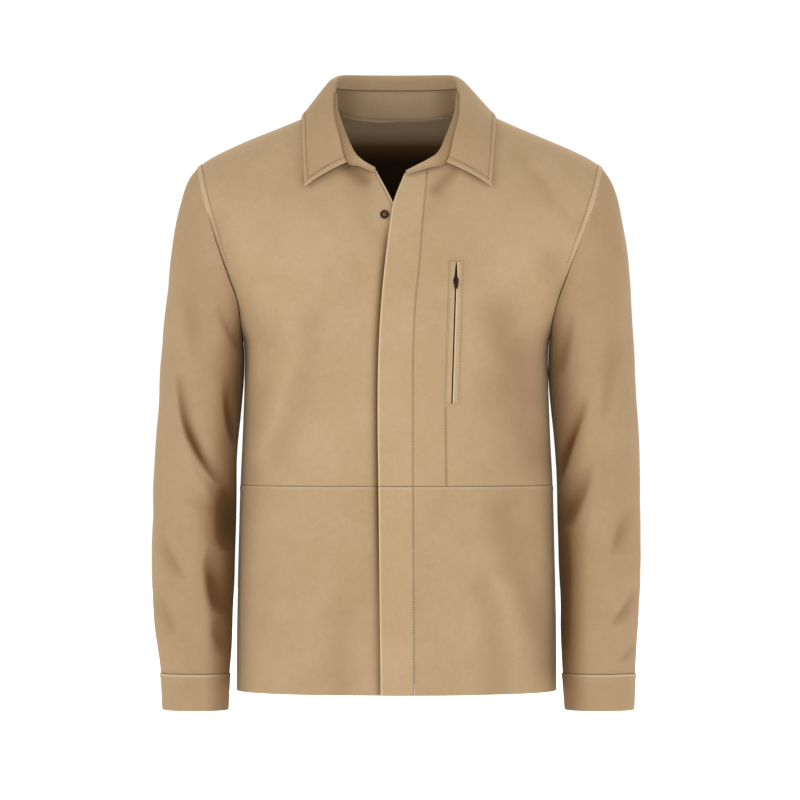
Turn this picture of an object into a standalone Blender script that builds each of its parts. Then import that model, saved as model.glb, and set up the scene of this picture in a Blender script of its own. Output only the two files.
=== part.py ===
# Suede shirt jacket, filled out as if worn, with open neck, hem and cuffs.
# Tables and sizes are in millimetres. x is across (the wearer's left is +x), y runs front (-) to
# back (+), z is up. The origin is the middle of the neck, level with the back neck seam.

import math

import bpy
import numpy as np

MM = 0.001

# Cloth
SUEDE = 1.4            # one layer
DOUBLED = 2.4          # collar and cuffs: two layers and an interlining
PLACKET = 2.6          # folded front band
SEAM = 0.3             # between two pieces that are sewn edge to edge
LAY = 0.4              # between a piece and the cloth that it lies on

# Heights
HEM_Z = -685.5
WAIST_Z = -440.0
UNDERARM_Z = -266.0
SHOULDER_POINT_Z = -59.5
CUFF_TOP_Z = -663.7
CUFF_END_Z = -707.4

# Body form
NECK_HALF = 74.0       # neck seam on the shoulder line, from the middle
SECTION_POWER = 2.3    # of the superellipse that each body section follows
FRONT_ROUND = 100.0    # height over which the shoulder rounds to the front
BACK_ROUND = 90.0
ARMHOLE_ROUND = 105.0  # height over which the armhole rounds at the underarm
PLACKET_LIFT = 3.4     # the left front lies this far outside the right one
LIFT_START, LIFT_END = 45.0, 130.0          # that lift fades out between these places across
UNDERLAP_DROP = 2.2    # the right front falls in this far under the placket
DROP_RUN = 15.0        # over this width beside the placket's edge
DROP_START_Z, DROP_FULL_Z = -95.0, -150.0   # and over this height
FOLD_FADE = 40.0       # folds fade out where the body is shallower than this

# Ways in through the wall where panels and sleeve meet at the shoulder
ARMHOLE_MIDDLE = (212.0, -165.0)       # x and z that the armhole's edges point to
ARMHOLE_SHARE_RISE = 20.0              # above the underarm, where they begin to do so
ARMHOLE_SHARE_RUN = 60.0
SHOULDER_WAY = (-0.42, -0.907)         # x and z, square to the shoulder line

# Grids
ACROSS = 10            # panel columns from side or armhole to the middle or the neck
BELOW_ROWS = 6         # hem to waist seam
WAIST_ROWS = 5         # waist seam to underarm
ARM_ROWS = 14          # underarm to shoulder point, and half the sleeve's columns
CORNER_ROW = 9         # of those rows, the one that ends at the front neck corner
NECK_COLUMNS = 5       # back panel, shoulder to middle
SLEEVE_ROWS = 24
SLEEVE_CROWD = 1.35    # the sleeve's rows stand closer together at the armhole
CUFF_ROWS = 4
PLACKET_COLUMNS = 3

SIDES = {"right": -1.0, "left": 1.0}


def table(names, *rows):
    """A dictionary with one column of numbers for each name."""
    return dict(zip(names.split(), np.array(rows, float).T))


def smooth(at, places, values):
    """Cubic curve through (places, values), with the ends held level outside them."""
    places, values = np.asarray(places, float), np.asarray(values, float)
    at = np.clip(at, places[0], places[-1])
    slope = np.gradient(values, places)
    cell = np.clip(np.searchsorted(places, at, side="right") - 1, 0, len(places) - 2)
    span = places[cell + 1] - places[cell]
    t = (at - places[cell]) / span
    return ((1 + 2 * t) * (1 - t) ** 2 * values[cell] + t * (1 - t) ** 2 * span * slope[cell]
            + t * t * (3 - 2 * t) * values[cell + 1] + t * t * (t - 1) * span * slope[cell + 1])


# Depth of the body's middle line before and behind the shoulder line, and of the armhole's edge
BODY = table("z        front  front_edge  back   back_edge",
             (-686.0,  130.0, 80.0,       121.0, 76.0),
             (-560.0,  129.0, 80.0,       116.0, 76.0),
             (-440.0,  131.0, 80.0,       112.0, 76.0),
             (-340.0,  134.0, 80.0,       118.0, 76.0),
             (-266.0,  134.0, 80.0,       124.0, 76.0),
             (-200.0,  128.0, 80.0,       124.0, 76.0),
             (-120.0,  112.0, 79.0,       118.0, 75.0),
             (-60.0,   86.0,  72.0,       107.0, 72.0),
             (-20.0,   78.0,  64.0,       110.0, 66.0),
             (20.0,    74.0,  58.0,       118.0, 62.0))

# Distance from the middle to the side seam, and above the underarm to the armhole seam
EDGE = table("z        right  left",
             (-686.0,  191.8, 192.0),
             (-602.0,  191.2, 191.4),
             (-518.0,  189.4, 189.4),
             (-446.0,  187.4, 187.6),
             (-374.0,  184.2, 184.0),
             (-310.0,  182.2, 182.0),
             (-280.0,  182.2, 182.0),
             (-266.0,  183.5, 183.4),
             (-250.0,  185.2, 184.8),
             (-222.0,  188.5, 191.0),
             (-193.0,  198.8, 201.6),
             (-161.0,  210.3, 213.4),
             (-132.0,  219.6, 224.7),
             (-98.0,   229.5, 236.5),
             (-59.5,   238.9, 247.0))

# Shoulder line: height along the way from the neck (0) to the shoulder point (1)
SHOULDER = table("way   right  left",
                 (0.00, 19.0,  19.0),
                 (0.23, -0.5,  2.8),
                 (0.39, -11.6, -9.6),
                 (0.62, -26.6, -26.2),
                 (0.78, -38.0, -38.0),
                 (0.92, -50.2, -50.2),
                 (1.00, -59.5, -59.5))

# Front edges by height: the right front's edge, the placket's edge and its stitch line
FRONT_EDGE = table("z        right  placket  stitch",
                   (-686.0,  20.5,  -18.5,   21.4),
                   (-573.0,  20.5,  -19.8,   20.8),
                   (-440.0,  20.5,  -21.2,   20.0),
                   (-361.0,  20.5,  -22.1,   19.9),
                   (-283.0,  20.3,  -21.2,   20.2),
                   (-221.0,  19.0,  -17.8,   23.0),
                   (-173.0,  14.6,  -13.1,   28.0),
                   (-131.0,  6.2,   -7.9,    31.1),
                   (-104.0,  -4.2,  -3.4,    33.6),
                   (-66.3,   -23.8, 11.0,    37.1),
                   (-52.0,   -31.0, 16.0,    38.4))

# Neck seam from the front corner (0) to the shoulder line (1)
NECK = table("way   right_x  right_z  left_x  left_z",
             (0.00, 23.8,    -66.3,   9.4,    -69.8),
             (0.15, 36.0,    -61.2,   26.0,   -64.0),
             (0.32, 48.5,    -52.5,   43.0,   -54.5),
             (0.50, 59.5,    -37.5,   57.0,   -39.5),
             (0.68, 68.5,    -17.0,   67.5,   -18.5),
             (0.85, 73.0,    4.5,     73.0,   4.0),
             (1.00, 74.0,    19.0,    74.0,   19.0))
STITCH_WAY = 0.262     # where the placket's stitch line meets the left neck seam
BACK_NECK = table("way   x     z",
                  (0.00, 74.0, 19.0),
                  (0.20, 73.0, 15.0),
                  (0.40, 68.0, 9.0),
                  (0.62, 52.0, 3.5),
                  (0.80, 28.0, 0.8),
                  (1.00, 0.0,  0.0))

# Sleeve sections: outer and inner side, half depth and how far the middle stands forward
SLEEVE = table("z        out_right  out_left  in_right  in_left  depth  middle",
               (-712.0,  278.4,     283.0,    201.4,    201.8,   39.5,  33.0),
               (-663.7,  281.4,     285.0,    199.2,    198.4,   41.5,  30.0),
               (-614.0,  287.8,     288.0,    196.2,    196.4,   45.5,  27.0),
               (-578.0,  290.8,     289.9,    195.4,    195.6,   49.5,  24.0),
               (-530.0,  292.6,     292.0,    193.2,    194.2,   54.5,  20.0),
               (-482.0,  291.6,     292.2,    192.0,    192.8,   59.5,  16.0),
               (-422.0,  290.0,     291.2,    190.8,    191.2,   65.5,  11.0),
               (-386.0,  287.8,     290.6,    189.4,    188.8,   69.0,  8.0),
               (-338.0,  284.6,     287.8,    185.4,    185.2,   73.0,  5.0),
               (-300.0,  282.8,     286.2,    183.6,    183.8,   76.0,  3.0),
               (-266.0,  280.6,     284.0,    183.8,    183.6,   78.0,  1.0),
               (-206.0,  274.0,     280.2,    172.0,    174.0,   79.0,  0.0),
               (-158.0,  269.4,     276.6,    160.0,    163.0,   79.0,  0.0),
               (-122.0,  263.4,     270.6,    154.0,    158.0,   79.0,  0.0),
               (-98.0,   257.4,     265.8,    150.0,    155.0,   79.0,  0.0),
               (-86.0,   254.0,     261.8,    148.0,    154.0,   79.0,  0.0),
               (-74.0,   249.0,     256.4,    147.0,    153.0,   79.0,  0.0),
               (-59.5,   238.9,     247.0,    146.0,    152.0,   79.0,  0.0))
ARMHOLE_FADE = 95.0    # length over which the sleeve loses the armhole's outline
SLEEVE_FOLD_RUN = 60.0   # length over which its folds set in
CUFF_PROUD = 1.0       # the cuff stands this far outside the sleeve's end

# Folds seen from the front: a line from start to end, its half width and its rise (+) or fall (-)
BODY_FOLDS = table("x0      z0      x1      z1      half   rise",
                   (-62.0,  -58.0,  -38.0,  -94.0,  15.0,  -3.0),
                   (-218.0, -130.0, -190.0, -206.0, 18.0,  -4.0),
                   (-98.0,  -244.0, -134.0, -380.0, 20.0,  -3.5),
                   (-62.0,  -600.0, -68.0,  -690.0, 20.0,  -3.0),
                   (150.0,  -55.0,  206.0,  -128.0, 18.0,  -3.0),
                   (112.0,  -244.0, 158.0,  -380.0, 20.0,  -3.5),
                   (126.0,  -478.0, 176.0,  -648.0, 20.0,  -4.5),
                   (100.0,  -570.0, 122.0,  -690.0, 18.0,  -3.0))
SLEEVE_FOLDS = table("x0      z0      x1      z1      half   rise",
                     (-217.0, -226.0, -192.0, -282.0, 18.0,  -4.5),
                     (-260.0, -316.0, -246.0, -384.0, 17.0,  -6.0),
                     (-246.0, -384.0, -205.0, -446.0, 19.0,  -8.0),
                     (-285.0, -480.0, -260.0, -515.0, 17.0,  4.0),
                     (-225.0, -560.0, -205.0, -600.0, 18.0,  -5.0),
                     (-284.0, -572.0, -255.0, -606.0, 17.0,  4.0),
                     (222.0,  -341.0, 198.0,  -426.0, 19.0,  -6.5),
                     (263.0,  -392.0, 231.0,  -451.0, 17.0,  5.0),
                     (234.0,  -434.0, 209.0,  -486.0, 17.0,  -6.0),
                     (280.0,  -463.0, 254.0,  -505.0, 17.0,  -4.0),
                     (284.0,  -563.0, 254.0,  -606.0, 17.0,  -5.0))

# Collar, half of it, from the middle of the back to the leaf's front end. N is on the neck seam,
# "roll" is the top of the turn and its width, S the seam of stand and leaf.
COLLAR = table("station neck  roll_x roll_y roll_z width  s_x   s_y    s_z",
               (0.0,    2.00, 0.0,   68.5,  54.8,  8.0,   0.0,  66.5,  36.5),
               (1.0,    1.72, 37.0,  64.5,  54.8,  8.0,   37.0, 62.5,  36.5),
               (2.0,    1.42, 65.0,  46.5,  53.6,  8.0,   62.5, 44.5,  36.5),
               (3.0,    1.15, 75.0,  18.0,  48.4,  7.0,   74.0, 17.0,  36.0),
               (4.0,    0.99, 76.0,  -8.0,  42.8,  7.0,   73.4, -9.0,  33.0),
               (5.0,    0.90, 74.5,  -32.0, 23.4,  7.0,   76.0, -33.5, 22.4),
               (6.0,    0.79, 69.7,  -54.0, 1.2,   5.0,   73.5, -58.5, 0.5),
               (7.0,    0.63, 61.0,  -74.5, -23.6, 5.0,   67.6, -79.5, -24.0),
               (8.0,    0.42, 51.0,  -86.0, -46.0, 5.0,   58.5, -90.5, -56.5))
# The leaf's free edge at the same stations: it reaches further out on the left
LEAF_EDGE = {
    "right": table("l_x    l_y    l_z",
                   (0.0,   86.0,  4.0),
                   (47.0,  80.0,  4.5),
                   (87.0,  58.0,  5.0),
                   (107.5, 22.0,  3.0),
                   (112.6, -9.0,  1.6),
                   (112.2, -42.0, -12.0),
                   (110.8, -70.0, -38.0),
                   (109.3, -88.5, -66.0),
                   (108.6, -98.0, -86.0)),
    "left": table("l_x    l_y    l_z",
                  (0.0,   86.0,  4.0),
                  (47.0,  80.0,  4.5),
                  (89.0,  58.0,  6.0),
                  (110.6, 22.0,  4.0),
                  (118.2, -9.0,  1.4),
                  (118.2, -42.0, -11.0),
                  (115.8, -70.0, -38.0),
                  (113.4, -88.5, -66.0),
                  (112.2, -98.0, -85.4))}
NECK_CLEAR = 1.3       # from the panels' edge to the foot of the stand
LEAF_STATIONS = 8.0
CROSSING = 5.0         # the station where the turn crosses the seam
TURNED_WIDTH = 0.6     # share of the turn's width on its outer side, where the stand turns out
LEAF_SWELL = (1.2, -1.5, 1.6)    # the leaf's fall stands this far out between its seam and edge
# The stand's front end, beyond the leaf, on each side
STAND_END = {
    "right": table("station neck  roll_x roll_y roll_z width  s_x   s_y    s_z",
                   (9.0,    0.24, 42.0,  -90.5, -55.0, 3.5,   44.4, -92.0, -61.6),
                   (10.0,   0.12, 33.0,  -92.0, -60.8, 3.0,   34.2, -93.5, -66.0),
                   (11.0,   0.02, 24.8,  -92.5, -65.2, 2.5,   25.6, -94.5, -68.6)),
    "left": table("station neck  roll_x roll_y roll_z width  s_x   s_y    s_z",
                  (9.0,    0.27, 38.0,  -93.5, -55.0, 3.5,   40.0, -95.5, -63.3),
                  (10.0,   0.14, 24.5,  -95.5, -62.0, 3.0,   25.5, -97.0, -67.5),
                  (11.0,   0.02, 11.0,  -96.0, -68.8, 2.5,   11.6, -98.0, -72.0))}
STATION_STEP = 0.5     # between the collar's sections
FINE_FROM, FINE_TO = 3.5, 6.0    # half steps where the turn crosses the seam
STAND_ROWS = 5
LEAF_ROWS = 8

# Chest pocket on the left front: two jets with a zip between, seen from the front
POCKET_TOP, POCKET_END = (70.4, -174.3), (64.8, -343.0)
POCKET_WIDTH = 16.0
ZIP_WIDTH = 2.6
JET_THICK = 1.0
CHAIN_THICK = 0.9
POCKET_ROWS = 12
SLIDER_WAY = 0.117     # place of the slider along the pocket
SLIDER_SIZE = (6.0, 8.5)
SLIDER_THICK = 1.6
PULL_SIZE = (4.4, 12.0)
PULL_THICK = 1.1
LUG_DROP = 2.0         # from the slider's top to the pull's hinge

# Snap stud on the right front
STUD_AT = (-14.0, -119.5)

COLOURS = {"suede": (0.52, 0.37, 0.22), "dark_brass": (0.10, 0.075, 0.05),
           "zip_tape": (0.05, 0.04, 0.03)}
STUD_TURNS = 20
STUD_PROFILE = table("radius height",
                     (0.2,   2.0),
                     (2.2,   1.9),
                     (2.8,   2.7),
                     (4.4,   2.7),
                     (5.2,   1.8),
                     (5.2,   0.9),
                     (0.2,   0.9))


def material(name):
    """The material of that name, made on first use."""
    found = bpy.data.materials.get(name)
    if found is None:
        found = bpy.data.materials.new(name)
        found.use_nodes = True
        shader = found.node_tree.nodes["Principled BSDF"]
        shader.inputs["Base Color"].default_value = (*COLOURS[name], 1.0)
        metal = name == "dark_brass"
        shader.inputs["Metallic"].default_value = 1.0 if metal else 0.0
        shader.inputs["Roughness"].default_value = 0.4 if metal else 0.9
    return found


# ---------------------------------------------------------------- body form

def edge_x(side, z):
    """Distance from the middle to the side seam or armhole seam."""
    return smooth(z, EDGE["z"], EDGE[side])


def shoulder_z(side, x):
    """Height of the shoulder line at a distance from the middle."""
    way = (np.abs(x) - NECK_HALF) / (EDGE[side][-1] - NECK_HALF)
    return smooth(way, SHOULDER["way"], SHOULDER[side])


def form_depth(side, face, x, z):
    """How far the body stands before or behind the shoulder line.

    Each level section is a superellipse that meets the side seam or the armhole's edge, and the
    depth falls to nothing as a quarter circle towards the shoulder line.
    """
    full = smooth(z, BODY["z"], BODY[face])
    rise = np.clip((z - UNDERARM_Z) / ARMHOLE_ROUND, 0.0, 1.0)
    edge = smooth(z, BODY["z"], BODY[face + "_edge"]) * np.sqrt(1.0 - (1.0 - rise) ** 2)
    reach = edge_x(side, z) / (1.0 - (edge / full) ** SECTION_POWER) ** (1.0 / SECTION_POWER)
    out = np.clip(np.abs(x) / reach, 0.0, 1.0)
    section = (1.0 - out ** SECTION_POWER) ** (1.0 / SECTION_POWER)
    radius = FRONT_ROUND if face == "front" else BACK_ROUND
    drop = np.clip((shoulder_z(side, x) - z) / radius, 0.0, 1.0)
    return full * section * np.sqrt(1.0 - (1.0 - drop) ** 2)


def fold_rise(folds, x, z):
    """Sum of the folds at a place: each is a bell across its line, rounded at its ends."""
    total = np.zeros(np.broadcast(x, z).shape)
    for x0, z0, x1, z1, half, rise in zip(*folds.values()):
        run = np.array((x1 - x0, z1 - z0))
        along = ((x - x0) * run[0] + (z - z0) * run[1]) / (run @ run)
        near = np.clip(along, 0.0, 1.0)
        away = (x - x0 - near * run[0]) ** 2 + (z - z0 - near * run[1]) ** 2
        total += rise * np.exp(-away / half ** 2)
    return total


def ease(t):
    """0 to 1 with level ends."""
    t = np.clip(t, 0.0, 1.0)
    return t * t * (3.0 - 2.0 * t)


def front_point(side, x, z, out=0.0):
    """A point on a front, given where it is seen from the front; out moves it forwards."""
    depth = form_depth(side, "front", x, z)
    fade = ease(depth / FOLD_FADE)
    depth = depth + fade * fold_rise(BODY_FOLDS, x, z)
    if side == "left":
        depth = depth + PLACKET_LIFT * fade * (1.0 - ease((x - LIFT_START) / (LIFT_END - LIFT_START)))
    else:
        under = x - smooth(z, FRONT_EDGE["z"], FRONT_EDGE["placket"])
        down = ease((DROP_START_Z - z) / (DROP_START_Z - DROP_FULL_Z))
        depth = depth - UNDERLAP_DROP * down * ease(1.0 + under / DROP_RUN)
    return np.stack(np.broadcast_arrays(x, -depth - out, z), axis=-1)


def back_point(side, x, z):
    """A point on the back."""
    return np.stack(np.broadcast_arrays(x, form_depth(side, "back", x, z), z), axis=-1)


def crowd(count):
    """0 to 1 in steps that grow, small at the side seam where the body turns."""
    return 1.0 - np.cos(np.linspace(0.0, 1.0, count + 1) * math.pi / 2)


def arm_levels():
    """Heights of the armhole's points, from the underarm to the shoulder point."""
    share = (1.0 - np.cos(np.linspace(0.0, math.pi, ARM_ROWS + 1))) / 2
    return share, UNDERARM_Z + (SHOULDER_POINT_Z - UNDERARM_Z) * share


# ---------------------------------------------------------------- solids

def normals(grid, wrap):
    """Unit normals of a grid of points, as whole arrays."""
    if wrap:
        du = np.roll(grid, -1, axis=1) - np.roll(grid, 1, axis=1)
    else:
        du = np.gradient(grid, axis=1)
    dv = np.gradient(grid, axis=0)
    n = np.cross(du, dv)
    return n / np.maximum(np.linalg.norm(n, axis=-1, keepdims=True), 1e-9)


def draw_in(grid, edges, gap=SEAM / 2):
    """Move the named edges of a grid towards their neighbours by half a seam."""
    grid = grid.copy()
    pairs = {"v0": (0, 1, 0), "v1": (-1, -2, 0), "u0": (0, 1, 1), "u1": (-1, -2, 1)}
    for edge in edges:
        first, second, axis = pairs[edge]
        line, near = np.take(grid, first, axis), np.take(grid, second, axis)
        step = near - line
        line = line + step / np.linalg.norm(step, axis=-1, keepdims=True) * gap
        if axis == 0:
            grid[first] = line
        else:
            grid[:, first] = line
    return grid


def solid(name, outer, inner, wrap=False, finish="suede"):
    """One closed wall between two grids of the same shape."""
    rows, columns = outer.shape[:2]
    points = np.concatenate((outer.reshape(-1, 3), inner.reshape(-1, 3))) * MM
    index = np.arange(rows * columns).reshape(rows, columns)
    if wrap:
        index = np.concatenate((index, index[:, :1]), axis=1)
    low = rows * columns
    a, b, c, d = index[:-1, :-1], index[:-1, 1:], index[1:, 1:], index[1:, :-1]
    faces = [np.stack((a, b, c, d), -1).reshape(-1, 4),
             np.stack((d, c, b, a), -1).reshape(-1, 4) + low]
    rims = [index[0], index[-1][::-1]]
    if not wrap:
        rims += [index[::-1, 0], index[:, -1]]
    for rim in rims:
        faces.append(np.stack((rim[1:], rim[:-1], rim[:-1] + low, rim[1:] + low), -1))
    faces = np.concatenate(faces)
    corners = points[faces]
    volume = sum(np.einsum("ij,ij->", corners[:, 0], np.cross(corners[:, k], corners[:, k + 1]))
                 for k in (1, 2))
    if volume < 0.0:
        faces = faces[:, ::-1]
    mesh = bpy.data.meshes.new(name)
    mesh.from_pydata(points.tolist(), [], faces.tolist())
    mesh.update()
    mesh.shade_smooth()
    mesh.set_sharp_from_angle(angle=math.radians(40))
    mesh.materials.append(material(finish))
    item = bpy.data.objects.new(name, mesh)
    bpy.context.collection.objects.link(item)
    return item


def wall(name, grid, thick, centre, wrap=False, rims=None, finish="suede"):
    """A wall whose outer face is the grid; rims gives the way in along named edges."""
    way = normals(grid, wrap)
    if np.sum(way * (grid - centre)) > 0.0:
        way = -way
    places = {"v0": (0,), "v1": (-1,), "u0": (slice(None), 0), "u1": (slice(None), -1)}
    for edge, direction in (rims or {}).items():
        way[places[edge]] = direction
    return solid(name, grid, grid + way * thick, wrap, finish)


def body_axis(grid):
    """Points on the body's upright middle, for telling in from out."""
    return grid * (0.0, 0.0, 1.0)


# ---------------------------------------------------------------- body panels

def armhole_ways(side, face, levels):
    """The way in along the armhole seam, shared by panel and sleeve, and how far it is shared."""
    sign = SIDES[side]
    x = sign * edge_x(side, levels)
    y = form_depth(side, face, x, levels) * (-1.0 if face == "front" else 1.0)
    points = np.stack((x, y, levels), -1)
    middle = np.array((sign * ARMHOLE_MIDDLE[0], 0.0, ARMHOLE_MIDDLE[1]))
    way = middle - points
    way /= np.linalg.norm(way, axis=-1, keepdims=True)
    share = ease((levels - UNDERARM_Z - ARMHOLE_SHARE_RISE) / ARMHOLE_SHARE_RUN)[:, None]
    return points, way, share


def panel_rims(side, face, grid, seam_levels):
    """Ways in for a panel's shoulder, side and armhole edges."""
    sign = SIDES[side]
    way = normals(grid, False)
    if np.sum(way * (grid - body_axis(grid))) > 0.0:
        way = -way
    edge = way[:, 0].copy()
    edge[:seam_levels + 1] = (-sign, 0.0, 0.0)
    _, shared, share = armhole_ways(side, face, arm_levels()[1])
    edge[seam_levels:] = edge[seam_levels:] * (1 - share) + shared * share
    edge /= np.linalg.norm(edge, axis=-1, keepdims=True)
    top = way[-1].copy()
    top[:] = (sign * SHOULDER_WAY[0], 0.0, SHOULDER_WAY[1])
    top[0] = edge[-1]
    return {"u0": edge, "v1": top}


def front_rows(side):
    """Places (x, z) of a front's upper panel, row by row from the waist seam up."""
    sign = SIDES[side]
    share = crowd(ACROSS)[None, :]
    column = "right" if side == "right" else "stitch"
    start = 0.0 if side == "right" else STITCH_WAY
    corner = np.array((smooth(start, NECK["way"], NECK[side + "_x"]),
                       smooth(start, NECK["way"], NECK[side + "_z"])))
    z_low = np.linspace(WAIST_Z, UNDERARM_Z, WAIST_ROWS + 1)[:-1]
    blend, z_arm = arm_levels()
    z_side = np.concatenate((z_low, z_arm))
    x_side = sign * edge_x(side, z_side)
    z_edge = np.linspace(UNDERARM_Z, corner[1], CORNER_ROW + 1)
    x_edge = smooth(z_edge, FRONT_EDGE["z"], FRONT_EDGE[column])
    way = start + (1.0 - start) * np.linspace(0.0, 1.0, ARM_ROWS - CORNER_ROW + 1)[1:]
    x_neck = sign * smooth(way, NECK["way"], NECK[side + "_x"])
    z_neck = smooth(way, NECK["way"], NECK[side + "_z"])
    x_edge[-1] = sign * corner[0]
    x_mid = np.concatenate((smooth(z_low, FRONT_EDGE["z"], FRONT_EDGE[column]), x_edge, x_neck))
    z_mid = np.concatenate((z_low, z_edge, z_neck))
    x = x_side[:, None] * (1 - share) + x_mid[:, None] * share
    z = z_side[:, None] * (1 - share) + z_mid[:, None] * share
    lift = np.concatenate((np.zeros(WAIST_ROWS), blend))[:, None]
    bow = shoulder_z(side, x[-1]) - z[-1]
    return x, z + lift * bow[None, :]


def make_fronts():
    """Right and left front, above and below the waist seam."""
    share = crowd(ACROSS)[None, :]
    for side, sign in SIDES.items():
        x, z = front_rows(side)
        grid = front_point(side, x, z)
        grid[-1, :, 1] = 0.0
        rims = panel_rims(side, "front", grid, WAIST_ROWS)
        grid = draw_in(grid, ("v0", "v1", "u0", "u1"))
        wall(f"front_{side}_upper", grid, SUEDE, body_axis(grid), rims=rims)

        column = "right" if side == "right" else "stitch"
        z = np.linspace(HEM_Z, WAIST_Z, BELOW_ROWS + 1)[:, None] + 0.0 * share
        x_mid = smooth(z, FRONT_EDGE["z"], FRONT_EDGE[column])
        x = sign * edge_x(side, z) * (1 - share) + x_mid * share
        grid = front_point(side, x, z)
        rims = {"u0": (-sign, 0.0, 0.0)}
        grid = draw_in(grid, ("v1", "u0", "u1"))
        wall(f"front_{side}_lower", grid, SUEDE, body_axis(grid), rims=rims)


def make_placket():
    """The folded band down the left front's edge, above and below the waist seam."""
    across = np.linspace(0.0, 1.0, PLACKET_COLUMNS + 1)[None, :]
    z_low = np.linspace(WAIST_Z, UNDERARM_Z, WAIST_ROWS + 1)[:-1]
    ends = []
    for start, column in ((0.0, "placket"), (STITCH_WAY, "stitch")):
        x_top = smooth(start, NECK["way"], NECK["left_x"])
        z_top = smooth(start, NECK["way"], NECK["left_z"])
        z = np.concatenate((z_low, np.linspace(UNDERARM_Z, z_top, CORNER_ROW + 1)))
        x = smooth(z, FRONT_EDGE["z"], FRONT_EDGE[column])
        x[-1] = x_top
        ends.append((x[:, None], z[:, None]))
    (x_edge, z_edge), (x_seam, z_seam) = ends
    x = x_edge * (1 - across) + x_seam * across
    z = z_edge * (1 - across) + z_seam * across
    grid = draw_in(front_point("left", x, z), ("v0", "v1", "u1"))
    wall("placket_upper", grid, PLACKET, body_axis(grid))

    z = np.linspace(HEM_Z, WAIST_Z, BELOW_ROWS + 1)[:, None] + 0.0 * across
    x_edge = smooth(z, FRONT_EDGE["z"], FRONT_EDGE["placket"])
    x_seam = smooth(z, FRONT_EDGE["z"], FRONT_EDGE["stitch"])
    grid = front_point("left", x_edge * (1 - across) + x_seam * across, z)
    grid = draw_in(grid, ("v1", "u1"))
    wall("placket_lower", grid, PLACKET, body_axis(grid))


def make_back():
    """One plain back, made of two mirrored halves that share the middle line."""
    halves = []
    ways = []
    for side, sign in SIDES.items():
        z_low = np.concatenate((np.linspace(HEM_Z, WAIST_Z, BELOW_ROWS + 1)[:-1],
                                np.linspace(WAIST_Z, UNDERARM_Z, WAIST_ROWS + 1)[:-1]))
        blend, z_arm = arm_levels()
        z_side = np.concatenate((z_low, z_arm))[:, None]
        neck_share = 1.0 - NECK_HALF / edge_x(side, UNDERARM_Z)
        share = np.concatenate((crowd(ACROSS) * neck_share,
                                np.linspace(neck_share, 1.0, NECK_COLUMNS + 1)[1:]))[None, :]
        z_mid = np.concatenate((z_low, UNDERARM_Z - UNDERARM_Z * blend))[:, None]
        x = sign * edge_x(side, z_side) * (1 - share)
        z = z_side * (1 - share) + z_mid * share
        x_top = EDGE[side][-1] + (NECK_HALF - EDGE[side][-1]) * crowd(ACROSS)
        z_top = shoulder_z(side, x_top)
        way = np.linspace(0.0, 1.0, NECK_COLUMNS + 1)[1:]
        x_top = sign * np.concatenate((x_top, smooth(way, BACK_NECK["way"], BACK_NECK["x"])))
        z_top = np.concatenate((z_top, smooth(way, BACK_NECK["way"], BACK_NECK["z"])))
        lift = np.concatenate((np.zeros(len(z_low)), blend))[:, None]
        x = x + lift * (x_top - x[-1])[None, :]
        z = z + lift * (z_top - z[-1])[None, :]
        grid = back_point(side, x, z)
        grid[-1, :ACROSS + 1, 1] = 0.0
        rims = panel_rims(side, "back", grid, len(z_low))
        own = normals(grid, False)
        if np.sum(own * (grid - body_axis(grid))) > 0.0:
            own = -own
        own[:, 0] = rims["u0"]
        own[-1, :ACROSS + 1] = rims["v1"][:ACROSS + 1]
        own[:, -1, 0] = 0.0
        halves.append(draw_in(grid, ("v1", "u0")))
        ways.append(own)
    grid = np.concatenate((halves[0], halves[1][:, ::-1][:, 1:]), axis=1)
    way = np.concatenate((ways[0], ways[1][:, ::-1][:, 1:]), axis=1)
    solid("back", grid, grid + way * SUEDE)


# ---------------------------------------------------------------- sleeves

def sleeve_section(side, angle, z):
    """A point of the sleeve: angle 0 is the outer side, a quarter turn is the front."""
    sign = SIDES[side]
    far = smooth(z, SLEEVE["z"], SLEEVE["out_" + side])
    near = smooth(z, SLEEVE["z"], SLEEVE["in_" + side])
    depth = smooth(z, SLEEVE["z"], SLEEVE["depth"])
    middle = smooth(z, SLEEVE["z"], SLEEVE["middle"])
    x = sign * ((far + near) / 2 + (far - near) / 2 * np.cos(angle))
    y = -middle - depth * np.sin(angle)
    return np.stack(np.broadcast_arrays(x, y, z), -1)


def sleeve_grid(side):
    """Rows from the armhole seam to the cuff, columns round the arm."""
    angles = np.arange(2 * ARM_ROWS) * math.pi / ARM_ROWS
    levels = arm_levels()[1]
    start, rim = [], []
    for face, span in (("front", range(ARM_ROWS, 0, -1)), ("back", range(ARM_ROWS))):
        points, way, share = armhole_ways(side, face, levels)
        start += [points[k] for k in span]
        rim += [(way[k], share[k]) for k in span]
    start = np.array(start)
    start[0, 1] = 0.0
    steps = np.linspace(0.0, 1.0, SLEEVE_ROWS + 1)[:, None] ** SLEEVE_CROWD
    z = start[:, 2] + (CUFF_TOP_Z - start[:, 2]) * steps
    grid = sleeve_section(side, angles[None, :], z)
    offset = start - sleeve_section(side, angles, start[:, 2])
    fade = 1.0 - ease((start[:, 2] - z) / ARMHOLE_FADE)
    grid = grid + offset[None] * fade[..., None]
    facing = np.clip(np.sin(angles), 0.0, 1.0)[None, :] * ease((start[:, 2] - z) / SLEEVE_FOLD_RUN)
    grid[..., 1] -= facing * fold_rise(SLEEVE_FOLDS, grid[..., 0], grid[..., 2])
    return grid, rim


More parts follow.
